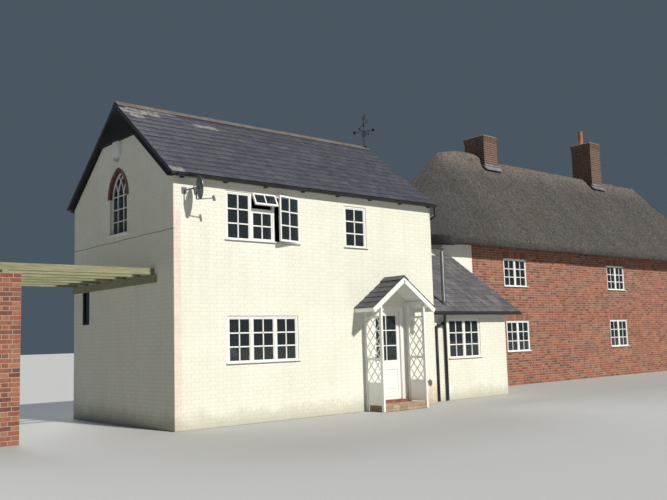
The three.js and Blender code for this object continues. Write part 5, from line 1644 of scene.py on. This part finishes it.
class COTTAGE_OT_solid_finishes(bpy.types.Operator):
    """Give the walls, floors and roof slabs of the frame their materials"""

    bl_idname = "cottage.solid_finishes"
    bl_label = "Walls and floors"

    def execute(self, context):
        plan = {
            "painted wall": (
                "wing_front_wall_left", "wing_front_wall_over_door", "wing_front_wall_right",
                "wing_back_wall", "wing_gable_wall", "wing_right_wall", "link_front_wall", "link_rear_wall",
                "range_left_wall",
            ),
            "lime mortar": ("range_front_wall", "range_back_wall", "range_right_wall", *STACKS, *PIER_Y),
            "brown arch brick": ("gothic_window_arch",),
            "paving bed": ("porch_step",),
            "wing slates": ("wing_roof_front", "wing_roof_rear", "link_roof_front", "link_roof_rear"),
            "stone flags": ("wing_ground_floor", "range_ground_floor"),
            "floor boards": ("wing_upper_floor", "range_upper_floor"),
            "window glass": ("gothic_window_glass",),
        }
        for look, nodes in plan.items():
            for node in nodes:
                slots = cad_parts[node].data.materials
                slots.clear()
                slots.append(FINISHES[look])
        return {"FINISHED"}


class COTTAGE_OT_finishes(bpy.types.Operator):
    """Mix the materials"""

    bl_idname = "cottage.finishes"
    bl_label = "Materials"

    def execute(self, context):
        shared_effects()
        masonry_finishes()
        roof_finishes()
        joinery_finishes()
        metal_finishes()
        return {"FINISHED"}


class COTTAGE_OT_stage(bpy.types.Operator):
    """Set the floor, the lights and the camera"""

    bl_idname = "cottage.stage"
    bl_label = "Stage"

    def execute(self, context):
        sizes = context.scene.cottage_stage
        only_select()
        bpy.ops.mesh.primitive_plane_add(size=400, location=(10, 0, -0.003))
        floor = bpy.context.object
        floor.name = "studio_floor"
        coat = Finish("studio floor", 0.9)
        coat.shader.inputs["Base Color"].default_value = (*sizes.floor, 1)
        floor.data.materials.append(FINISHES["studio floor"])
        self.lights(sizes)
        self.camera()
        return {"FINISHED"}

    def lights(self, sizes):
        """A low sun over the camera's shoulder, a soft one from behind and a weak sky"""
        scene = bpy.context.scene
        scene.view_settings.view_transform = "Standard"
        scene.world = bpy.data.worlds.new("studio")
        scene.world.use_nodes = True
        background = scene.world.node_tree.nodes["Background"]
        background.inputs["Color"].default_value = (0.58, 0.78, 1.0, 1)
        background.inputs["Strength"].default_value = sizes.fill
        for name, colour, azimuth, height, strength, angle in (
            ("key", (1.0, 0.96, 0.9), 7, 39, sizes.key, 2),
            ("fill", (0.9, 0.95, 1.0), 165, 38, sizes.key * 0.4, 30),
        ):
            lamp = bpy.data.lights.new(name, "SUN")
            lamp.energy = strength
            lamp.angle = math.radians(angle)
            lamp.color = colour
            item = new_object(name, lamp)
            a, e = math.radians(azimuth), math.radians(height)
            towards = Vector((math.sin(a) * math.cos(e), -math.cos(a) * math.cos(e), math.sin(e)))
            item.rotation_mode = "QUATERNION"
            item.rotation_quaternion = towards.to_track_quat("Z", "Y")

    def camera(self):
        """The photograph's place and direction"""
        place, turns = (-10.7135, -14.9138, 1.5146), (40.99, 6.35, -1.66)
        data = bpy.data.cameras.new("camera")
        data.sensor_width = 36
        data.lens = 43.73
        data.clip_end = 500
        item = new_object("camera", data)
        yaw, pitch, roll = (math.radians(turn) for turn in turns)
        ahead = Vector((math.sin(yaw) * math.cos(pitch), math.cos(yaw) * math.cos(pitch), math.sin(pitch)))
        level_right = Vector((math.cos(yaw), -math.sin(yaw), 0))
        level_up = level_right.cross(ahead)
        right = level_right * math.cos(roll) + level_up * math.sin(roll)
        up = level_up * math.cos(roll) - level_right * math.sin(roll)
        matrix = Matrix((right, up, -ahead)).transposed().to_4x4()
        matrix.translation = Vector(place)
        item.matrix_world = matrix
        bpy.context.scene.camera = item


class COTTAGE_PT_panel(bpy.types.Panel):
    """The cottage's steps in the sidebar"""

    bl_label = "Thatched cottage"
    bl_idname = "COTTAGE_PT_panel"
    bl_space_type = "VIEW_3D"
    bl_region_type = "UI"
    bl_category = "Cottage"

    def draw(self, context):
        for step in STEPS:
            self.layout.operator(step.bl_idname)


STEPS = (
    COTTAGE_OT_finishes,
    COTTAGE_OT_stage,
    COTTAGE_OT_solid_finishes,
    COTTAGE_OT_wing_brickwork,
    COTTAGE_OT_link_brickwork,
    COTTAGE_OT_range_brickwork,
    COTTAGE_OT_chimneys,
    COTTAGE_OT_gothic_window,
    COTTAGE_OT_slate_roofs,
    COTTAGE_OT_thatch,
    COTTAGE_OT_windows,
    COTTAGE_OT_front_door,
    COTTAGE_OT_porch,
    COTTAGE_OT_trim,
    COTTAGE_OT_pergola,
)
SETTINGS = {
    "cottage_brickwork": BrickworkSizes,
    "cottage_roofs": RoofSizes,
    "cottage_joinery": JoinerySizes,
    "cottage_stage": StageSizes,
}


def register():
    for item in (*SETTINGS.values(), *STEPS, COTTAGE_PT_panel):
        bpy.utils.register_class(item)
    for name, item in SETTINGS.items():
        setattr(bpy.types.Scene, name, bpy.props.PointerProperty(type=item))


def unregister():
    for name in SETTINGS:
        delattr(bpy.types.Scene, name)
    for item in reversed((*SETTINGS.values(), *STEPS, COTTAGE_PT_panel)):
        bpy.utils.unregister_class(item)


def main():
    register()
    for step in STEPS:
        family, name = step.bl_idname.split(".")
        getattr(getattr(bpy.ops, family), name)()


if __name__ == "__main__":
    main()
